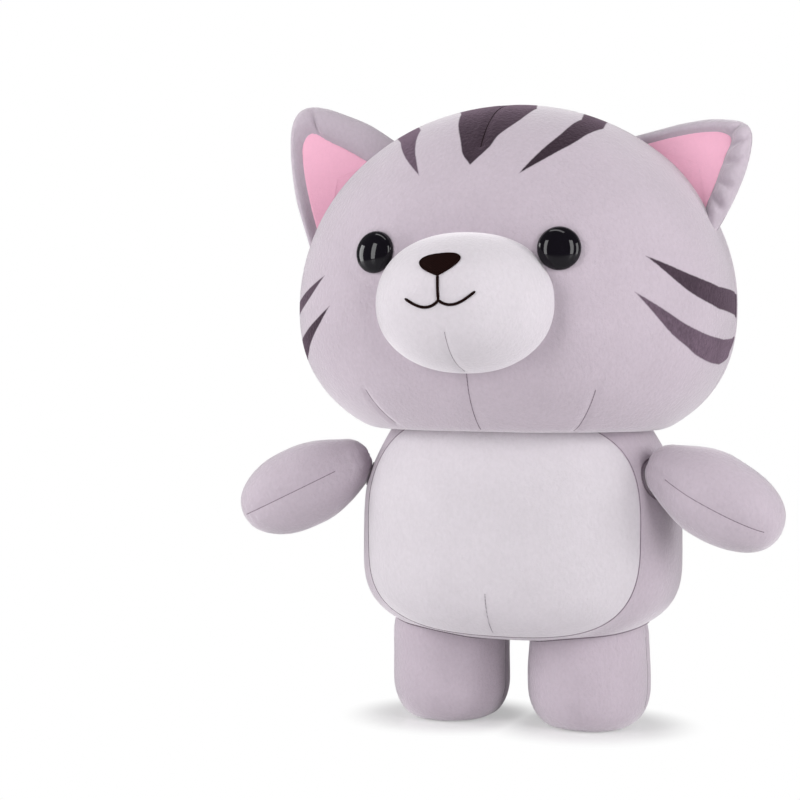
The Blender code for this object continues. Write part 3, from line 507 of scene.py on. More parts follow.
def cloth_swell(piece, pinned):
    """The points of a cover after its filling has pressed it out, with the pinned points held."""
    group = piece.vertex_groups.new(name="seam")
    group.add(pinned, 1.0, "REPLACE")
    cloth = piece.modifiers.new("filling", "CLOTH")
    cloth.point_cache.frame_start = 1
    cloth.point_cache.frame_end = CLOTH_FRAMES
    cloth.settings.quality = CLOTH_QUALITY
    cloth.settings.vertex_group_mass = group.name
    cloth.settings.use_pressure = True
    cloth.settings.uniform_pressure_force = CLOTH_PRESSURE
    cloth.settings.effector_weights.gravity = 0.0
    for step in range(1, CLOTH_FRAMES + 1):
        bpy.context.scene.frame_set(step)
    graph = bpy.context.evaluated_depsgraph_get()
    points = vectors(piece.evaluated_get(graph).to_mesh().vertices, "co")
    piece.evaluated_get(graph).to_mesh_clear()
    piece.modifiers.remove(cloth)
    piece.vertex_groups.remove(group)
    bpy.context.scene.frame_set(1)
    return points


def cord_points(route, radius, sides):
    """Rings of points round a route."""
    route = np.asarray(route, float)
    tangents = np.gradient(route, axis=0)
    tangents /= np.linalg.norm(tangents, axis=1)[:, None]
    side = np.cross(tangents[0], (0.3, 0.9, 0.2))
    turns = turns_of(sides, 0)
    rings = []
    for place, tangent, size in zip(route, tangents, np.broadcast_to(radius, len(route))):
        side = side - tangent * (side @ tangent)
        side /= np.linalg.norm(side)
        other = np.cross(tangent, side)
        rings.append(place + size * (np.cos(turns)[:, None] * side + np.sin(turns)[:, None] * other))
    return np.array(rings)


def cord(name, route, radius, sides=8):
    """A closed cord along a route."""
    return skin(name, route[0], cord_points(route, radius, sides), route[-1])


def join(name, pieces):
    """One object from several."""
    points = []
    faces = []
    for piece in pieces:
        start = len(points)
        points += [vertex.co.copy() for vertex in piece.data.vertices]
        faces += [tuple(start + k for k in face.vertices) for face in piece.data.polygons]
        bpy.data.objects.remove(piece)
    return add_mesh(name, points, faces)


def seam_cord(name, tree, spots, directions, radius=SEAM_CORD):
    """A thread lying in a seam, half sunk in the surface that rays from the spots meet."""
    route = []
    for spot, direction in zip(spots, directions):
        place, outward, _, _ = tree.ray_cast(Vector(spot), Vector(direction))
        if place is not None:
            route.append(tuple(place - outward * radius * 0.5))
    return cord(name, route, radius)


def upright_seam(name, tree, x, levels, side, radius=SEAM_CORD):
    """A thread up the front of a surface, for a side of -1, or up its back, for 1."""
    return seam_cord(name, tree, [(x, side, z) for z in levels], [(0, -side, 0)] * len(levels), radius)


# Materials

def feed(tree, socket, value):
    """Sets a socket, or links another node's output to it."""
    if isinstance(value, bpy.types.NodeSocket):
        tree.links.new(value, socket)
    else:
        socket.default_value = value


def fill_in(tree, node, **inputs):
    """Sets or links some of a node's inputs, the spaces in their names written as underscores."""
    for name, value in inputs.items():
        feed(tree, node.inputs[name.replace("_", " ")], value)
    return node


def add_node(tree, kind, **inputs):
    """A new node with some of its inputs set or linked."""
    return fill_in(tree, tree.nodes.new(kind), **inputs)


def new_material(name):
    """A material, its node tree, its Principled shader and the place on the object."""
    made = bpy.data.materials.new(name)
    made.use_nodes = True
    tree = made.node_tree
    return made, tree, tree.nodes["Principled BSDF"], add_node(tree, "ShaderNodeTexCoord").outputs["Object"]


def maths(tree, operation, *values):
    """The output of a Math node."""
    node = tree.nodes.new("ShaderNodeMath")
    node.operation = operation
    for socket, value in zip(node.inputs, values):
        feed(tree, socket, value)
    return node.outputs[0]


def mixed(tree, share, first, second):
    """The output of a colour mix."""
    node = tree.nodes.new("ShaderNodeMix")
    node.data_type = "RGBA"
    for socket, value in zip((node.inputs[0], node.inputs[6], node.inputs[7]), (share, first, second)):
        feed(tree, socket, value)
    return node.outputs[2]


def mottle(tree, where, scale, **inputs):
    """The output of a noise texture."""
    return add_node(tree, "ShaderNodeTexNoise", Vector=where, Scale=scale, **inputs).outputs["Fac"]


def bumps(tree, height, strength, distance, **inputs):
    """The output of a Bump node."""
    bump = add_node(tree, "ShaderNodeBump", Height=height, Strength=strength, Distance=distance, **inputs)
    return bump.outputs[0]


def stored(tree, name):
    """A value that is kept at each point of a piece."""
    node = tree.nodes.new("ShaderNodeAttribute")
    node.attribute_name = name
    return node.outputs["Fac"]


def camera_ray(tree):
    """1 for what the camera sees itself, 0 for what is only reflected or lit."""
    return add_node(tree, "ShaderNodeLightPath").outputs["Is Camera Ray"]


def mix_surface(tree, share, first, second):
    """Shows a share of the second shader over the first."""
    blend = add_node(tree, "ShaderNodeMixShader", Fac=share)
    tree.links.new(first.outputs[0], blend.inputs[1])
    tree.links.new(second.outputs[0], blend.inputs[2])
    tree.links.new(blend.outputs[0], tree.nodes["Material Output"].inputs["Surface"])


def shade_of(colour, share):
    """A colour made lighter or darker, as a socket value."""
    return (*(min(1.0, part * share) for part in colour), 1.0)


def shades(tree, share, colour, dark, light):
    """A colour that runs between a darker and a lighter shade."""
    return mixed(tree, share, shade_of(colour, dark), shade_of(colour, light))


def pile_shader(tree, shader, base, normal, sheen, tint):
    """Sets a Principled shader up as short pile."""
    fill_in(tree, shader, Base_Color=base, Normal=normal, Roughness=0.95, Specular_IOR_Level=0.12,
            Sheen_Weight=sheen, Sheen_Roughness=0.45, Sheen_Tint=(*tint, 1.0))


def plush(name, colour, striped=False, sheen=0.9, grain=1.0):
    """Short-pile plush: brushed light and dark patches, fine pile and a soft sheen."""
    made, tree, shader, where = new_material(name)
    combed = add_node(tree, "ShaderNodeMapping", Vector=where, Scale=NAP_COMBED).outputs[0]
    brushed = mottle(tree, where, 34.0, Detail=3.0, Roughness=0.55)
    nap = mottle(tree, combed, 480.0, Detail=3.0, Roughness=0.6)
    pile = mottle(tree, where, 1700.0, Detail=2.0, Roughness=0.6)
    tone = mixed(tree, 0.6, brushed, nap)
    base = shades(tree, tone, colour, 1 - PILE_CONTRAST * grain, 1 + PILE_CONTRAST * grain)
    soft = bumps(tree, brushed, 0.25, 1.2 * MM)
    woven = bumps(tree, nap, 0.9, 0.65 * grain * MM, Normal=soft)
    fine = bumps(tree, pile, 0.5, 0.25 * MM, Normal=woven)
    pile_shader(tree, shader, base, fine, sheen, PLUSH_SHEEN)
    if striped:
        rough_edge = maths(tree, "MULTIPLY_ADD", nap, 2 * STRIPE_FRAY, -STRIPE_FRAY)
        edge = maths(tree, "ADD", stored(tree, "stripe"), rough_edge)
        step = add_node(tree, "ShaderNodeMapRange", Value=edge, From_Min=-STRIPE_FRAY, From_Max=STRIPE_FRAY)
        # mixes in the paler stripe colour: painted sheen, partly a paler pile
        dye_and_sheen = mixed(tree, stored(tree, "pale_and_sheen"), shade_of(STRIPE, 1.0), shade_of(PALE_AND_SHEEN_STRIPE, 1.0))
        dark = mixed(tree, tone, shade_of(STRIPE, 0.2), dye_and_sheen)
        dyed = tree.nodes.new("ShaderNodeBsdfPrincipled")
        pile_shader(tree, dyed, dark, fine, 0.36, STRIPE_SHEEN)
        mix_surface(tree, step.outputs[0], shader, dyed)
    return made


def threads(name, colour, pitch, gloss, shine=0.15):
    """Embroidery or sewing thread: close lines of stitches with a slight gloss."""
    made, tree, shader, where = new_material(name)
    wave = add_node(tree, "ShaderNodeTexWave", Vector=where, Scale=TURN / (20 * pitch), Distortion=1.5)
    wave.wave_type = "BANDS"
    wave.bands_direction = "DIAGONAL"
    lines = wave.outputs["Fac"]
    tone = maths(tree, "MULTIPLY", lines, mottle(tree, where, 900.0, Detail=2.0))
    fill_in(tree, shader, Base_Color=shades(tree, tone, colour, 0.6, 1.9), Roughness=gloss,
            Normal=bumps(tree, lines, 0.5, 0.25 * MM), Specular_IOR_Level=shine)
    return made


def plastic(name, colour, low, high):
    """Smooth moulded plastic with faint uneven polish."""
    made, tree, shader, where = new_material(name)
    polish = mottle(tree, where, 260.0, Detail=4.0)
    spread = add_node(tree, "ShaderNodeMapRange", Value=polish, To_Min=low, To_Max=high)
    fill_in(tree, shader, Base_Color=shades(tree, polish, colour, 0.8, 1.2), Roughness=spread.outputs[0],
            Specular_IOR_Level=0.22)
    return made


def paint(piece, finish):
    """Gives a piece its material."""
    piece.data.materials.clear()
    piece.data.materials.append(finish)


def dress(piece, finish):
    """Gives a piece its material."""
    paint(piece, finish)


# Body

def body_points(tilt, turn, inset=0.0):
    """Points of the body; tilt runs from -90 degrees at its lowest point, turn from the cat's left."""
    height = np.where(tilt > 0, BODY_RISE, BODY_DROP) - inset
    z = BODY_WIDEST + signed_power(np.sin(tilt), 2 / BODY_SIDE_POWER) * height
    share = np.maximum(np.cos(tilt), 0.0) ** (2 / BODY_SIDE_POWER)
    depth = np.where(np.sin(turn) > 0, BODY_BACK, BODY_FRONT) - inset
    x, y = superellipse(turn, BODY_PLAN_POWER, BODY_HALF_WIDTH - inset, depth)
    taper = 1 - BODY_TAPER * smoothstep(z, NECK_LEVEL - BODY_TAPER_RUN, NECK_LEVEL)
    return np.stack(np.broadcast_arrays(x * share * taper + BODY_LEAN, BODY_Y + y * share, z), -1)


def belly_outline(turn, share=1.0):
    """Across and level of the belly panel's outline, drawn in towards its middle by a share."""
    height = np.where(np.sin(turn) > 0, BELLY_RISE, BELLY_DROP)
    x, z = superellipse(turn, BELLY_POWER, BELLY_HALF_WIDTH, height)
    return x * share + BODY_LEAN, BELLY_MIDDLE + z * share


def belly_edge(tree, share=1.0):
    """The belly panel's outline on the body, left out where the body doesn't face forward."""
    hits = [front_of(tree, x, z)[0] for x, z in zip(*belly_outline(even_turns(360), share))]
    return [hit for hit in hits if hit is not None]


def make_torso(grey):
    """The body's cover, drawn in along the belly panel's edge and down the back."""
    tilts = np.linspace(-SQUARE, SQUARE, 60)[1:-1, None]
    rings = body_points(tilts, turns_of(112)[None, :], SWELL)
    low = (BODY_LEAN, BODY_Y, BODY_WIDEST - BODY_DROP + SWELL)
    high = (BODY_LEAN, BODY_Y, BODY_WIDEST + BODY_RISE - SWELL)
    torso = skin("torso_plush", low, rings, high)
    edge = belly_edge(surface(torso))
    back = body_points(np.linspace(*BACK_SEAM, 90), np.full(90, SQUARE), SWELL)
    stuff(torso, edge + [Vector(point) for point in back], SWELL)
    points = coords(torso)
    unevenness(torso, TORSO_LUMPS, SEEDS["torso"])
    press(torso, to_route(points, back)[0])
    dress(torso, grey)
    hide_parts("back_panel_left", "back_panel_right", "body_stuffing")
    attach(torso, "torso")
    return torso


def make_belly(torso, white):
    """The white belly panel, standing a little out of the body and sewn in round its edge."""
    tree = surface(torso)
    turns = even_turns(220)
    fronts = []
    backs = []
    for share in np.linspace(0, 1, 56)[1:] ** 0.8:
        proud = BELLY_PROUD * (1 - share ** 8) - BELLY_TUCK * float(smoothstep(share, *TUCK_SHARES))
        ring = np.array([front_of(tree, x, z)[0] for x, z in zip(*belly_outline(turns, share))])
        fronts.append(ring + np.array((0, -proud, 0)))
        backs.append(ring + np.array((0, BELLY_THICK * (BELLY_BACK - share), 0)))
    middle = np.array(front_of(tree, BODY_LEAN, BELLY_MIDDLE)[0])
    belly = skin("belly_plush", middle - np.array((0, BELLY_PROUD, 0)), np.array(fronts + backs[::-1]),
                 middle + np.array((0, BELLY_THICK * BELLY_BACK, 0)))
    dart = [front_of(tree, BODY_LEAN, z)[0] for z in np.linspace(*BELLY_DART, 30)]
    press(belly, to_route(coords(belly), dart)[0])
    dress(belly, white)
    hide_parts("belly_panel")
    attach(belly, "torso")
    return belly


def ring_on(tree, middle, radius):
    """A closed route on a surface, at one distance from the middle of a ball that is set into it."""
    near, outward, _, gap = tree.find_nearest(middle)
    reach = math.sqrt(radius ** 2 - gap ** 2)
    side = outward.orthogonal().normalized()
    other = outward.cross(side)
    route = []
    for turn in np.linspace(0, TURN, 100):
        spot = near + reach * (side * math.cos(turn) + other * math.sin(turn))
        route.append(tuple(tree.ray_cast(spot + outward * 0.03, -outward)[0]))
    return route


def make_body_seams(belly, torso, dark, pale):
    """The threads of the belly's dart and edge, of the back's seam and round the limbs' roots, darkened as
    painted crease shade.
    """
    levels = np.linspace(*BELLY_DART, 40)
    dart = upright_seam("belly_dart_seam", surface(belly), BODY_LEAN, levels, -1, DART_CORD)
    dress(dart, pale)
    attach(dart, "torso")
    tree = surface(torso)
    levels = np.linspace(BODY_WIDEST - BODY_DROP * 0.9, NECK_LEVEL, 80)
    edge = [tuple(place) for place in belly_edge(tree, BELLY_EDGE)]
    cords = [upright_seam("back", tree, BODY_LEAN, levels, 1), cord("edge", edge + edge[:1], EDGE_CORD)]
    for side, _ in SIDES:
        for joint, radius in ((f"hip_{side}", LEG_ROOT_RADIUS), (f"shoulder_{side}", ARM_ROOT_RADIUS)):
            cords.append(cord(joint, ring_on(tree, JOINTS[joint], radius), ROOT_CORD))
    seams = join("body_seams", cords)
    dress(seams, dark)
    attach(seams, "torso")


# Head

def head_points(tilt, turn, inset=0.0):
    """Points of the head; tilt runs from 0 at the middle of the face, turn from the cat's left."""
    top = np.sin(turn) > 0
    power = np.where(top, HEAD_TOP_POWER, HEAD_BASE_POWER)
    height = np.where(top, HEAD_RISE, HEAD_DROP) - inset
    share = np.sin(tilt) ** (2 / HEAD_DEPTH_POWER)
    across, above = superellipse(turn, power, HEAD_HALF_WIDTH - inset, height)
    z = above * share
    x = across * share + HEAD_SLUMP * np.clip(-z / HEAD_DROP, 0.0, 1.0) ** 2
    depth = np.where(np.cos(tilt) > 0, HEAD_FRONT, HEAD_BACK) - inset
    y = MIDDLE_Y - signed_power(np.cos(tilt), 2 / HEAD_DEPTH_POWER) * depth
    return np.stack(np.broadcast_arrays(x, y, HEAD_LEVEL + z), -1)


def above_neck(levels, low):
    """Levels of the head held above the neck, rounding over at a low level."""
    return low + NECK_ROUND * np.logaddexp(0.0, (levels - low) / NECK_ROUND)


def head_direction(turn, lift):
    """Direction from the head's middle at a turn from straight ahead and a lift, in degrees."""
    turn = math.radians(turn)
    lift = math.radians(lift)
    return Vector((math.sin(turn) * math.cos(lift), -math.cos(turn) * math.cos(lift), math.sin(lift)))


def on_head(tree, turn, lift):
    """The point of the head's surface in a direction from its middle."""
    direction = head_direction(turn, lift)
    return tree.ray_cast(HEAD_MIDDLE + direction, -direction)[0]


def inside_outline(spots, outline):
    """Which flat points lie inside a closed outline."""
    across, up = spots.T
    inside = np.zeros(len(spots), bool)
    for (x0, y0), (x1, y1) in zip(outline, np.roll(outline, -1, axis=0)):
        if y0 != y1:
            crosses = (y0 > up) != (y1 > up)
            inside ^= crosses & (across < x0 + (up - y0) * (x1 - x0) / (y1 - y0))
    return inside


def stripe_depth(points, stripe):
    """How far each point lies inside a stripe, in mm, negative outside it."""
    tip, *edges = stripe
    lines = []
    for edge in edges:
        places = [head_direction(*spot) for spot in (tip, *edge)]
        lines.append(np.vstack([smooth_line(places[:-1], 6), places[-1]]))
    outline = np.vstack([lines[0], lines[1][:0:-1]])
    ahead = outline.mean(axis=0)
    ahead /= np.linalg.norm(ahead)
    across = np.cross(ahead, UP)
    across /= np.linalg.norm(across)
    plane = np.stack([across, np.cross(across, ahead)], -1)
    heads = points - np.array(HEAD_MIDDLE)
    depth = heads @ ahead
    seen = depth > 0.3 * np.linalg.norm(heads, axis=1)
    spots = heads[seen] @ plane / depth[seen][:, None]
    outline = outline @ plane / (outline @ ahead)[:, None]
    gap = to_route(spots, np.vstack([outline, outline[:1]]))[0]
    found = np.full(len(points), -STRIPE_FAR)
    found[seen] = np.where(inside_outline(spots, outline), gap, -gap) * depth[seen] / MM
    return found


def paint_stripes(head):
    """Stores how far each point of the head lies inside the nearest stripe, and how much paler that one is
    drawn (painted sheen, partly paler pile).
    """
    points = coords(head)
    behind = (HEAD_SEAM_Y - points[:, 1]) / MM
    deepest = np.full(len(points), -STRIPE_FAR)
    pale_and_sheen = np.zeros(len(points))
    groups = ((BROW_STRIPES, BROW_PALE_AND_SHEEN, 0.0), (CHEEK_STRIPES, CHEEK_PALE_AND_SHEEN, BEHIND_SEAM))
    for stripes, pale_and_sheen_shares, past_seam in groups:
        # each stripe's share of paler colour: painted sheen, partly a paler pile
        for stripe, fade in zip(stripes, pale_and_sheen_shares):
            depth = np.minimum(stripe_depth(points, stripe), behind + past_seam / MM)
            pale_and_sheen[depth > deepest] = fade
            deepest = np.maximum(deepest, depth)
    store(head, "stripe", np.clip(deepest, -STRIPE_FAR, STRIPE_FAR))
    store(head, "pale_and_sheen", pale_and_sheen)


def store(piece, name, values):
    """Keeps a value at each point of a piece, for its material."""
    if name not in piece.data.attributes:
        piece.data.attributes.new(name, "FLOAT", "POINT")
    piece.data.attributes[name].data.foreach_set("value", values.astype(np.float32))


def cut_stripe_edges(head):
    """Cuts the head's faces finer along the stripes' edges, so that their outlines come out sharp."""
    shape = bmesh.new()
    shape.from_mesh(head.data)
    mark = shape.verts.layers.float["stripe"]
    near = [edge for edge in shape.edges if min(abs(vertex[mark]) for vertex in edge.verts) < STRIPE_FINE]
    bmesh.ops.subdivide_edges(shape, edges=near, cuts=2, use_grid_fill=True)
    shape.to_mesh(head.data)
    shape.free()
    head.data.shade_smooth()


def make_head(grey, dark, brown):
    """The head's cover, drawn in at the seam round it and about the muzzle, with its darts and stripes."""
    seam = math.pi - math.acos(((HEAD_SEAM_Y - MIDDLE_Y) / HEAD_BACK) ** (HEAD_DEPTH_POWER / 2))
    tilts = np.concatenate([np.linspace(0, seam, 64)[1:], np.linspace(seam, math.pi, 40)[1:-1]])
    rings = head_points(tilts[:, None], turns_of(192)[None, :], SWELL)
    rings[..., 2] = above_neck(rings[..., 2], NECK_LEVEL + NECK_TUCK)
    head = skin("head_plush", (0, MIDDLE_Y - HEAD_FRONT + SWELL, HEAD_LEVEL), rings,
                (0, MIDDLE_Y + HEAD_BACK - SWELL, HEAD_LEVEL))
    fine = even_turns(400)
    ring = head_points(np.full(400, seam), fine, SWELL)
    tree = surface(head)
    round_muzzle = [front_of(tree, x, z)[0] for x, z in zip(*muzzle_outline(fine))]
    stuff(head, [Vector(point) for point in ring] + round_muzzle, SWELL)
    unevenness(head, HEAD_LUMPS, SEEDS["head"])
    points = coords(head)
    points[:, 2] = above_neck(points[:, 2], NECK_LEVEL + NECK_TUCK - SWELL)
    set_coords(head, points)
    for side, _ in SIDES:
        raise_round_eye(head, side)
    press(head, np.abs(coords(head)[:, 1] - HEAD_SEAM_Y))
    tree = surface(head)
    routes = []
    for turn, start, end in HEAD_DARTS:
        routes.append([on_head(tree, turn, lift) for lift in np.linspace(start, end, 40)])
    for route in routes:
        press(head, to_route(coords(head), route)[0])
    paint_stripes(head)
    cut_stripe_edges(head)
    paint_stripes(head)
    dress(head, grey)
    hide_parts("face_panel", "head_back_panel", "head_stuffing")
    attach(head, "head")

    tree = surface(head)
    cords = []
    for k, route in enumerate(routes):
        directions = [(HEAD_MIDDLE - place).normalized() for place in route]
        starts = [place - direction * 0.05 for place, direction in zip(route, directions)]
        cords.append(seam_cord(f"dart_{k}", tree, starts, directions))
    crown = cords.pop()
    crown.name = "crown_seam"
    dress(crown, brown)
    seams = join("head_seams", cords)
    dress(seams, dark)
    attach(crown, "head")
    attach(seams, "head")
    return head


def eye_place(side):
    """Middle and outward direction of an eye, from its solid in the frame."""
    washer = coords(frame["nodes"][f"eye_washer_{side}"])
    middle = Vector(washer.mean(axis=0))
    outward = Vector(np.linalg.svd(washer - washer.mean(axis=0))[2][2])
    if outward.y > 0:
        outward = -outward
    points = coords(frame["nodes"][f"eye_{side}"])
    tip = max((Vector(point) - middle).dot(outward) for point in points)
    return middle + outward * (tip - EYE_DOME - EYE_RIM), outward


def raise_round_eye(head, side):
    """Draws the fabric up to the back of an eye."""
    seat, outward = eye_place(side)
    outward = np.array(outward)
    points = coords(head)
    offset = points - np.array(seat)
    height = offset @ outward
    across = np.linalg.norm(offset - height[:, None] * outward, axis=1)
    near = 1 - smoothstep(across, EYE_RADIUS * 0.9, EYE_DIMPLE)
    near *= np.abs(height) < EYE_DIMPLE
    lift = np.clip(-height + EYE_SEAT, 0.0, None) * near
    set_coords(head, points + lift[:, None] * outward)


def make_eye(side, black):
    """A domed black eye with its thin rim and shank."""
    seat, outward = eye_place(side)
    steps = np.linspace(0, SQUARE, 28)[1:]
    pairs = list(zip(EYE_RADIUS * np.sin(steps), EYE_RIM + EYE_DOME * np.cos(steps)))
    pairs += [(EYE_RADIUS, EYE_SOFT), (EYE_RADIUS - EYE_SOFT, 0.0), (EYE_SHANK, 0.0),
              (EYE_SHANK, -EYE_SHANK_LENGTH)]
    x = UP.cross(outward).normalized()
    y = outward.cross(x)
    turns = turns_of(72, 0)
    rim = np.cos(turns)[:, None] * np.array(x) + np.sin(turns)[:, None] * np.array(y)
    rings = [np.array(seat) + radius * rim + height * np.array(outward) for radius, height in pairs]
    top = seat + outward * (EYE_RIM + EYE_DOME)
    eye = skin(f"eye_{side}_dome", top, np.array(rings), seat - outward * EYE_SHANK_LENGTH)
    dress(eye, black)
    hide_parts(f"eye_{side}")
    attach(eye, "head")


# Muzzle

def muzzle_outline(turn, share=1.0):
    """Across and level of the muzzle's outline."""
    x, z = superellipse(turn, MUZZLE_POWER, MUZZLE_HALF_WIDTH, MUZZLE_HALF_HEIGHT)
    return x * share, MUZZLE_LEVEL + z * share


def make_muzzle(white, dark):
    """The white dome of the muzzle, with the dart under its chin."""
    segments = 120
    rings = []
    for tilt in np.linspace(0, SQUARE, 44)[1:]:
        x, z = muzzle_outline(turns_of(segments), math.sin(tilt) ** (2 / MUZZLE_POWER))
        y = MUZZLE_ROOT_Y - MUZZLE_REACH * max(math.cos(tilt), 0.0) ** (2 / MUZZLE_POWER)
        rings.append(np.stack([x, np.full(segments, y), z], -1))
    muzzle = skin("muzzle_plush", (0, MUZZLE_ROOT_Y - MUZZLE_REACH, MUZZLE_LEVEL), np.array(rings),
                  (0, MUZZLE_ROOT_Y, MUZZLE_LEVEL))
    refine(muzzle)
    unevenness(muzzle, MUZZLE_LUMPS, SEEDS["muzzle"])
    tree = surface(muzzle)
    levels = np.linspace(MUZZLE_LEVEL - MUZZLE_DART[0], MUZZLE_LEVEL - MUZZLE_DART[1], 36)
    dart = [front_of(tree, MUZZLE_DART_X, z)[0] for z in levels]
    press(muzzle, to_route(coords(muzzle), dart)[0])
    dress(muzzle, white)
    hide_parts("muzzle_panel", "muzzle_stuffing")
    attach(muzzle, "head")

    line = upright_seam("muzzle_seam", surface(muzzle), MUZZLE_DART_X, levels, -1, DART_CORD)
    dress(line, dark)
    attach(line, "head")
    return muzzle


def stitched(tree, x, z):
    """A place of the embroidery and its outward direction, turned on the muzzle as it is stitched."""
    across = x * math.cos(STITCH_TURN) - z * math.sin(STITCH_TURN)
    return front_of(tree, across, MUZZLE_LEVEL + x * math.sin(STITCH_TURN) + z * math.cos(STITCH_TURN))


def nose_outline(turn):
    """Across and above of the nose's outline: a rounded triangle with its point down."""
    x, z = superellipse(turn, NOSE_POWER, NOSE_HALF_WIDTH, NOSE_HALF_HEIGHT)
    low = (NOSE_HALF_HEIGHT - z) / (2 * NOSE_HALF_HEIGHT)
    return x * (1 - 2 * NOSE_TAPER * low ** 2), z


def make_nose(muzzle, brown):
    """The satin-stitched nose: a low pad of close stitches inside a corded edge."""
    tree = surface(muzzle)
    across, above = nose_outline(even_turns(96))
    fronts = []
    backs = []
    for share in np.linspace(0, 1, 16)[1:]:
        spots = [stitched(tree, x, NOSE_UP + z) for x, z in zip(across * share, above * share)]
        height = 1 - NOSE_FALL * share ** 4
        fronts.append([place + outward * NOSE_THICK * height for place, outward in spots])
        backs.append([place - outward * NOSE_THICK for place, outward in spots])
    middle, outward = stitched(tree, 0.0, NOSE_UP)
    pad = skin("pad", middle + outward * NOSE_THICK, np.array(fronts + backs[::-1]),
               middle - outward * NOSE_THICK)
    edge = [stitched(tree, x, NOSE_UP + z) for x, z in zip(across, above)]
    route = [tuple(place + outward * NOSE_CORD * 0.5) for place, outward in edge]
    sides = 8
    rings = cord_points(route + route[:2], NOSE_CORD, sides)[1:-1]
    faces = []
    for k in range(len(rings)):
        low = k * sides
        high = (k + 1) % len(rings) * sides
        for side in range(sides):
            after = (side + 1) % sides
            faces.append((low + side, low + after, high + after, high + side))
    edging = add_mesh("edging", rings.reshape(-1, 3), faces)
    nose = join("nose_embroidery", [pad, edging])
    dress(nose, brown)
    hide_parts("nose_patch")
    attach(nose, "head")


def stitched_line(name, muzzle, route, brown, node):
    """A line of satin stitches on the muzzle, ridged along its length and thin at its ends."""
    tree = surface(muzzle)
    spots = [stitched(tree, x, z) for x, z in route]
    places = [tuple(place + outward * MOUTH_CORD * 0.3) for place, outward in spots]
    count = np.arange(len(places))
    ridge = MOUTH_CORD * (1 + MOUTH_RIDGE * np.sin(count * math.pi / 2))
    ends = np.minimum(count, count[::-1])
    line = cord(name, places, ridge * np.clip(0.45 + ends / 5, 0, 1), 10)
    dress(line, brown)
    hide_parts(node)
    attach(line, "head")


def make_mouth(muzzle, brown):
    """The mouth's two arcs, and the line from the nose down to them."""
    shares = np.linspace(-1, 1, 140)
    sag = MOUTH_SAG * np.sin(math.pi * np.abs(shares) ** MOUTH_SKEW)
    levels = MOUTH_UP + MOUTH_CORNER_UP * shares ** 2 - sag
    arcs = list(zip(MOUTH_HALF_WIDTH * shares, levels))
    stitched_line("mouth_embroidery", muzzle, arcs, brown, "mouth_stitch")
    fall = [(0.0, level) for level in np.linspace(NOSE_UP - NOSE_HALF_HEIGHT, MOUTH_UP, 40)]
    stitched_line("philtrum_embroidery", muzzle, fall, brown, "philtrum_stitch")


# Ears

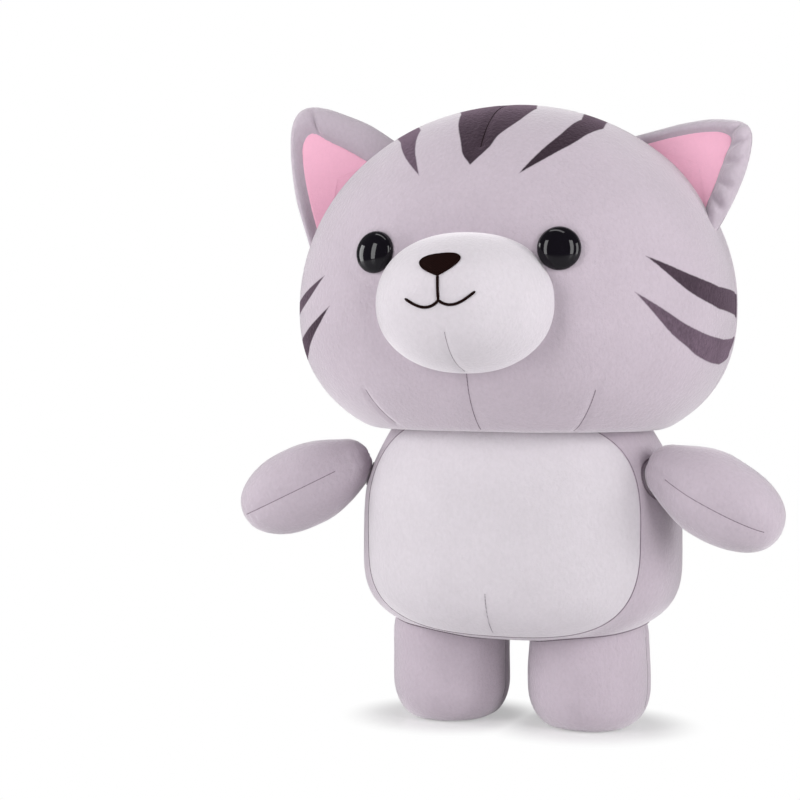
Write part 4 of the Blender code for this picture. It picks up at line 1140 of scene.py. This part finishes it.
class Ear:
    """The plan of one ear: its middle, and edge points round it with the reach of its lining."""

    def __init__(self, side, sign, head):
        self.side = side
        self.sign = sign
        self.tree = surface(head)
        self.low = self.root(0.0)
        self.high = self.root(1.0)
        along = self.high - self.low
        out = Vector((along.z * sign, 0, -along.x * sign)).normalized()
        up = Vector((-out.z * sign, 0, out.x * sign))
        self.out = out
        self.tip = out * (EAR_HEIGHT[side] + EAR_SINK) + up * EAR_LEAN[side] - Vector((0, EAR_TIP_FORWARD, 0))
        self.middle = self.low.lerp(self.high, 0.5) + self.tip * EAR_MIDDLE

    def root(self, share):
        """A point of the root on the head; share is 0 at its lower end."""
        low = EAR_LOW_ANGLE[self.side]
        angle = math.radians(low + (EAR_HIGH_ANGLE[self.side] - low) * share)
        x = math.cos(angle) * HEAD_HALF_WIDTH * self.sign
        out = Vector((x, 0, math.sin(angle) * HEAD_RISE)).normalized()
        level = Vector((0, EAR_ROOT_Y - EAR_CUP * (1 - share), HEAD_LEVEL))
        return self.tree.ray_cast(level + out, -out)[0] - out * EAR_SINK

    def edge(self, share):
        """A point of the free edge, filled out a little; share is 0 at the root's lower end."""
        rounding = EAR_TIP_ROUND[self.side]
        top = math.hypot(1.0, rounding)
        height = ((top - math.hypot(2 * share - 1, rounding)) / (top - rounding)) ** EAR_BULGE
        spot = self.low.lerp(self.high, share) + self.tip * height
        return spot + (spot - self.middle).normalized() * EAR_PUFF

    def lining_reach(self, share):
        """How far the lining runs towards a point of the free edge, leaving the rim its width."""
        step = 0.004
        along = (self.edge(min(share + step, 1.0)) - self.edge(max(share - step, 0.0))).normalized()
        square = (self.edge(share) - self.middle).cross(along).length
        low = RIM_LOW[self.side]
        width = low + (RIM_HIGH[self.side] - low) * float(smoothstep(share, 0.35, 0.65))
        return max(1 - width / square, LINING_LEAST)

    def spokes(self, edge_count=84, root_count=44):
        """(edge point, lining's reach, place along the free edge or None at the root) round the ear."""
        found = []
        for k in range(edge_count):
            share = k / edge_count
            found.append((self.edge(share), self.lining_reach(share), share))
        for k in range(root_count):
            share = k / root_count
            ends = self.lining_reach(1.0) * (1 - share) + self.lining_reach(0.0) * share
            reach = ends + (LINING_AT_ROOT - ends) * math.sin(math.pi * share) ** 0.5
            found.append((self.root(1 - share), reach, None))
        return found

    def front(self, reach, edge, lining, place):
        """Depth of the ear's front: a hollow lined floor inside a stuffed rim, with folds across the rim."""
        rim_width = max(1 - lining, RIM_LEAST)
        across = min(max((reach - lining) / rim_width, 0.0), 1.0)
        height = min(EAR_RIM, EAR_RIM_ROUND * rim_width * (edge - self.middle).length)
        rim = height * math.sin(math.pi * across) ** 0.7
        floor = EAR_FLOOR * (1 - EAR_HOLLOW + EAR_HOLLOW * min(reach / lining, 1.0) ** 2)
        depth = floor * math.sqrt(max(0.0, 1 - reach ** 14)) + rim
        if place is not None:
            for fold in EAR_FOLDS[self.side]:
                crease = math.exp(-((place - fold - FOLD_SLANT * (reach - 0.8)) / FOLD_WIDTH) ** 2)
                depth -= FOLD_DEPTH * rim * crease
        return depth

    def shell_points(self, share, *spoke):
        """A point of the ear's front and one of its rounded back."""
        spot = self.middle.lerp(spoke[0], share)
        back = EAR_BACK * max(0.0, 1 - share ** 3) ** 0.55
        return spot - Vector((0, self.front(share, *spoke), 0)), spot + Vector((0, back, 0))

    def lining_points(self, share, edge, lining, place):
        """A point of the lining, proud of the ear's floor and tucked in at its edge, and one of its back."""
        reach = share * lining
        spot = self.middle.lerp(edge, reach)
        floor = self.front(reach, edge, lining, place)
        proud = LINING_PROUD - LINING_TUCK * float(smoothstep(share, *TUCK_SHARES))
        return spot - Vector((0, floor + proud, 0)), spot - Vector((0, floor - LINING_BACK, 0))

    def pad(self, name, shares, points_at):
        """A closed pad across the ear, through front and back points at shares of its reach."""
        spokes = self.spokes()
        fronts = []
        backs = []
        for share in shares:
            front, back = zip(*(points_at(share, *spoke) for spoke in spokes))
            fronts.append(front)
            backs.append(back)
        rings = np.array(fronts + backs[::-1])
        return skin(name, rings[0].mean(axis=0), rings, rings[-1].mean(axis=0))


def make_ear(side, sign, head, grey, pink):
    """A stuffed ear with its pink lining; both bend with the head at the root."""
    ear = Ear(side, sign, head)
    shell = ear.pad(f"ear_{side}_plush", 1 - (1 - np.linspace(0, 1, 30)[1:]) ** 1.5, ear.shell_points)
    lining = ear.pad(f"ear_{side}_lining_plush", np.linspace(0, 1, 26)[1:], ear.lining_points)
    unevenness(shell, EAR_LUMPS, SEEDS["ear"] * sign)
    dress(shell, grey)
    dress(lining, pink)
    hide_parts(f"ear_{side}_shell")
    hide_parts(f"ear_{side}_lining")
    root = JOINTS[f"ear_{side}_fold"]
    for piece in (shell, lining):
        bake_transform(piece, "head", f"ear_{side}", root - ear.out * 4 * MM, root + ear.out * 14 * MM)


# Limbs

def frame_on(point, forward, up):
    """A placement whose own Z runs along forward and whose own Y is as near up as can be."""
    z = forward.normalized()
    x = up.cross(z).normalized()
    y = z.cross(x)
    return Matrix.Translation(point) @ Matrix((x, y, z)).transposed().to_4x4()


def root_profile(root_radius, root_run, radius, swell_at):
    """(along, radius) pairs from the pole of a round root to the limb's widest place."""
    tilts = np.linspace(0, SQUARE + math.asin(root_run / root_radius), 14)[1:]
    pairs = [(-root_radius * math.cos(tilt), root_radius * math.sin(tilt)) for tilt in tilts]
    start, thin = pairs[-1]
    for share in np.linspace(0, 1, 16)[1:]:
        swell = math.sin(SQUARE * share)
        pairs.append((start + (swell_at - start) * share, thin + (radius - thin) * swell))
    return pairs


def round_end(radius, swell_at, length, power):
    """Pairs of a closed rounded end."""
    return [(swell_at + (length - swell_at) * math.sin(tilt) ** (2 / power),
             radius * math.cos(tilt) ** (2 / power)) for tilt in np.linspace(0, SQUARE, 18)[1:-1]]


def foot_end(radius, length):
    """Pairs of a foot's rounding and its flat sole."""
    corner = [(length - FOOT_CORNER + FOOT_CORNER * math.sin(tilt),
               SOLE_RADIUS + (radius - SOLE_RADIUS) * math.cos(tilt))
              for tilt in np.linspace(0, SQUARE, 14)[1:]]
    return corner + [(length, SOLE_RADIUS * share) for share in np.linspace(1, 0, 9)[1:-1]]


def shrunk(pairs):
    """A limb's profile before it is stuffed, drawn in square to itself."""
    pairs = np.array(pairs)
    heading = np.gradient(pairs, axis=0)
    heading /= np.linalg.norm(heading, axis=1)[:, None]
    inner = pairs + LIMB_SWELL * np.stack([heading[:, 1], -heading[:, 0]], -1)
    inner[:, 1] = np.maximum(inner[:, 1], pairs[:, 1] * 0.4)
    return inner


def limb(name, pairs, length, spine, segments=56):
    """A limb's cover from a profile and a spine, as a closed skin."""
    rings = []
    for along, radius in pairs:
        place = spine(along)
        rings.append([place @ Vector((radius * math.cos(a), radius * math.sin(a), 0))
                      for a in turns_of(segments)])
    first = spine(pairs[0][0]) @ Vector((0, 0, -1 * MM))
    return skin(name, first, np.array(rings), spine(length - LIMB_SWELL) @ Vector())


def straight(place):
    """Placement of a ring along a straight limb."""
    return lambda along: place @ Matrix.Translation((0, 0, along))


def local(place, piece):
    """A piece's points in a placement's own axes."""
    back = np.array(place.inverted())
    return coords(piece) @ back[:3, :3].T + back[:3, 3]


def seam_threads(name, piece, place, starts, dark):
    """Threads down a limb's two side seams, dark as painted crease shade."""
    tree = surface(piece)
    cords = []
    for sign in (1.0, -1.0):
        spots = [place @ Vector((sign * 0.2, 0, along)) for along in starts]
        heading = (place.to_3x3() @ Vector((-sign, 0, 0))).normalized()
        cords.append(seam_cord(f"{name}_{sign}", tree, spots, [heading] * len(starts)))
    seams = join(name, cords)
    dress(seams, dark)
    return seams


def sew_limb(piece, place, pairs, seed):
    """Stuffs a limb between its two side seams, and presses the fabric in along them."""
    seams = []
    for sign in (1.0, -1.0):
        seams += [place @ Vector((sign * radius, 0, along)) for along, radius in pairs]
    stuff(piece, seams, LIMB_SWELL)
    unevenness(piece, LIMB_LUMPS, seed)
    points = local(place, piece)
    end = points[:, 2].max()
    fade = smoothstep(points[:, 2], end - LIMB_PRESS_ENDS[0], end - LIMB_PRESS_ENDS[1])
    press(piece, np.abs(points[:, 1]), LIMB_PRESS * (1 - fade))


def arm_place(side, sign):
    """Placement of an arm at its shoulder, its own Z out along the arm."""
    level_run = math.cos(ARM_DROOP)
    heading = Vector((sign * level_run * math.cos(ARM_SWING_FORWARD),
                      -level_run * math.sin(ARM_SWING_FORWARD), -math.sin(ARM_DROOP)))
    place = frame_on(JOINTS[f"shoulder_{side}"], heading, UP)
    return place @ Matrix.Rotation(-sign * ARM_SEAM_ROLL, 4, "Z")


def make_arm(side, sign, grey, dark):
    """An arm of two panels, joined down its front and back."""
    place = arm_place(side, sign)
    pairs = root_profile(ARM_ROOT_RADIUS, ARM_ROOT_RUN, ARM_RADIUS, ARM_SWELL_AT)
    pairs = shrunk(pairs + round_end(ARM_RADIUS, ARM_SWELL_AT, ARM_LENGTH, ARM_END_POWER))
    arm = limb(f"arm_{side}_plush", pairs, ARM_LENGTH, straight(place))
    sew_limb(arm, place, pairs[:-6], SEEDS["arm"] + sign)
    points = local(place, arm)
    pucker(arm, np.abs(points[:, 1]), points[:, 2] + 0.05 * np.sign(points[:, 0]), sign)
    dress(arm, grey)
    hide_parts(f"arm_{side}_upper_panel", f"arm_{side}_lower_panel", f"arm_{side}_stuffing")
    starts = np.linspace(ARM_SEAM_ENDS[0], ARM_LENGTH - ARM_SEAM_ENDS[1], 60)
    seams = seam_threads(f"arm_{side}_seams", arm, place, starts, dark)
    for piece in (arm, seams):
        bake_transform(piece, "torso", f"arm_{side}", place @ Vector((0, 0, -ARM_BEND)),
                 place @ Vector((0, 0, 2 * ARM_BEND)))


def make_leg(side, sign, grey, dark):
    """A leg of two panels with a flat sole."""
    hip = JOINTS[f"hip_{side}"]
    place = frame_on(hip, Vector((0, 0, -1)), Vector((0, -1, 0)))
    length = hip.z
    radius = LEG_RADIUS[side]
    pairs = root_profile(LEG_ROOT_RADIUS, LEG_ROOT_RUN, radius, LEG_SWELL_AT)
    pairs = shrunk(pairs + foot_end(radius, length))
    leg = limb(f"leg_{side}_plush", pairs, length, straight(place), 72)
    sew_limb(leg, place, pairs[:-8], SEEDS["leg"] + sign)
    points = coords(leg)
    points[:, 2] = np.maximum(points[:, 2], 0.0)
    set_coords(leg, points)
    dress(leg, grey)
    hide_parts(f"leg_{side}_front_panel", f"leg_{side}_back_panel", f"sole_{side}",
                f"leg_{side}_stuffing")
    starts = np.linspace(LEG_SEAM_START, length - FOOT_CORNER * 0.5, 50)
    seams = seam_threads(f"leg_{side}_seams", leg, place, starts, dark)
    for piece in (leg, seams):
        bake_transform(piece, "torso", f"leg_{side}", hip, place @ Vector((0, 0, LEG_BEND)))


def make_tail(grey):
    """The tail, curling up from the back."""
    place = frame_on(JOINTS["tail_wag"], Vector((0, math.cos(TAIL_PITCH), math.sin(TAIL_PITCH))), UP)
    radius = TAIL_LENGTH / TAIL_BEND

    def spine(along):
        if along <= 0:
            return place @ Matrix.Translation((0, 0, along))
        turn = along / radius
        shift = Vector((0, radius * (1 - math.cos(turn)), radius * math.sin(turn)))
        return place @ Matrix.Translation(shift) @ Matrix.Rotation(-turn, 4, "X")

    pairs = root_profile(TAIL_ROOT_RADIUS, 0.0, TAIL_RADIUS, TAIL_SWELL_AT)
    pairs = shrunk(pairs + round_end(TAIL_RADIUS, TAIL_SWELL_AT, TAIL_LENGTH, TAIL_END_POWER))
    tail = limb("tail_plush", pairs, TAIL_LENGTH, spine, 40)
    stuff(tail, [spine(along) @ Vector((0, -size, 0)) for along, size in pairs], LIMB_SWELL)
    unevenness(tail, TAIL_LUMPS, SEEDS["tail"])
    dress(tail, grey)
    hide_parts("tail_cover", "tail_stuffing")
    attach(tail, "tail")


# Studio

def make_floor():
    """A pale, slightly glossy floor that runs back to a white backdrop, its glow cut back round the legs as
    painted contact shade.
    """
    made, tree, shader, where = new_material("studio_floor")
    tint = shades(tree, mottle(tree, where, 3.0), FLOOR, 0.99, 1.01)
    fill_in(tree, shader, Base_Color=tint, Roughness=0.22, Specular_IOR_Level=0.18)
    glow = add_node(tree, "ShaderNodeEmission", Color=PURE_WHITE, Strength=1.0)
    spot = add_node(tree, "ShaderNodeSeparateXYZ", Vector=where)
    hip = JOINTS["hip_left"]
    across = maths(tree, "SUBTRACT", maths(tree, "ABSOLUTE", spot.outputs["X"]), hip.x)
    ahead = maths(tree, "SUBTRACT", spot.outputs["Y"], hip.y)
    squares = [maths(tree, "MULTIPLY", gap, gap) for gap in (across, ahead)]
    # less glow near the legs: painted contact shade on top of the floor's real shadows
    near, whole = (LEG_RADIUS["left"] + edge for edge in GLOW_EDGES)
    far = add_node(tree, "ShaderNodeMapRange", Value=maths(tree, "SQRT", maths(tree, "ADD", *squares)),
                   From_Min=near, From_Max=whole, To_Min=FLOOR_GLOW)
    far.interpolation_type = "SMOOTHSTEP"
    mix_surface(tree, maths(tree, "MULTIPLY", far.outputs[0], camera_ray(tree)), shader, glow)
    mesh = bpy.data.meshes.new("floor")
    corners = [(x * FLOOR_SIZE, y * FLOOR_SIZE, 0) for x, y in ((-1, -1), (1, -1), (1, 1), (-1, 1))]
    mesh.from_pydata(corners, [], [(0, 1, 2, 3)])
    mesh.materials.append(made)
    floor = put("floor", mesh)


def make_light():
    """Soft studio light: tall lamps at both sides, a strip overhead, and a white room."""
    for name, place, width, height, power in LAMPS:
        lamp = bpy.data.lights.new(name, "AREA")
        lamp.shape = "RECTANGLE"
        lamp.size = width
        lamp.size_y = height
        lamp.energy = power
        holder = put(name, lamp)
        holder.location = place
        holder.rotation_euler = (LIGHT_TARGET - Vector(place)).to_track_quat("-Z", "Y").to_euler()
    world = bpy.data.worlds.new("studio")
    bpy.context.scene.world = world
    world.use_nodes = True
    tree = world.node_tree
    tree.nodes.clear()
    strength = add_node(tree, "ShaderNodeMapRange", Value=camera_ray(tree), To_Min=ROOM_LIGHT, To_Max=1.0)
    back = add_node(tree, "ShaderNodeBackground", Color=PURE_WHITE, Strength=strength.outputs[0])
    add_node(tree, "ShaderNodeOutputWorld", Surface=back.outputs[0])
    bpy.context.scene.view_settings.view_transform = "Standard"


def make_camera():
    """The camera, a little to the cat's left and level with its face."""
    data = bpy.data.cameras.new("camera")
    data.lens = CAMERA_LENS
    data.sensor_width = CAMERA_SENSOR
    camera = put("camera", data)
    camera.location = (CAMERA_DISTANCE * math.sin(CAMERA_AZIMUTH),
                       MIDDLE_Y - CAMERA_DISTANCE * math.cos(CAMERA_AZIMUTH), CAMERA_HEIGHT)
    heading = CAMERA_AZIMUTH + CAMERA_YAW
    level = math.cos(CAMERA_PITCH)
    forward = Vector((-math.sin(heading) * level, math.cos(heading) * level, math.sin(CAMERA_PITCH)))
    camera.rotation_euler = forward.to_track_quat("-Z", "Y").to_euler()
    bpy.context.scene.camera = camera


def make_cat():
    """Every piece of the cat, over its frame."""
    grey = plush("grey_plush_pile", GREY)
    striped = plush("grey_plush_striped", GREY, striped=True)
    white = plush("white_plush_pile", WHITE, grain=0.8)
    pink = plush("pink_plush_pile", PINK, sheen=0.5, grain=0.4)
    # dark seam and dart threads: stitches plus painted crease shade
    dark = threads("seam_thread_and_crease_shade", SEAM_THREAD_AND_CREASE_SHADE, THREAD_PITCH, 0.7)
    brown = threads("brown_embroidery", BROWN, EMBROIDERY_PITCH, 0.8, 0.03)
    pale = threads("pale_thread_and_crease_shade", PALE_THREAD_AND_CREASE_SHADE, THREAD_PITCH, 0.7)
    black = plastic("eye_black", BLACK, 0.03, 0.06)
    nylon = plastic("washer_nylon", NYLON, 0.30, 0.45)

    torso = make_torso(grey)
    belly = make_belly(torso, white)
    make_body_seams(belly, torso, dark, pale)
    head = make_head(striped, dark, brown)
    muzzle = make_muzzle(white, dark)
    make_nose(muzzle, brown)
    make_mouth(muzzle, brown)
    for side, sign in SIDES:
        make_eye(side, black)
        make_ear(side, sign, head, grey, pink)
        make_arm(side, sign, grey, dark)
        make_leg(side, sign, grey, dark)
        paint(frame["nodes"][f"eye_washer_{side}"], nylon)
    make_tail(grey)


make_cat()
make_floor()
make_light()
make_camera()
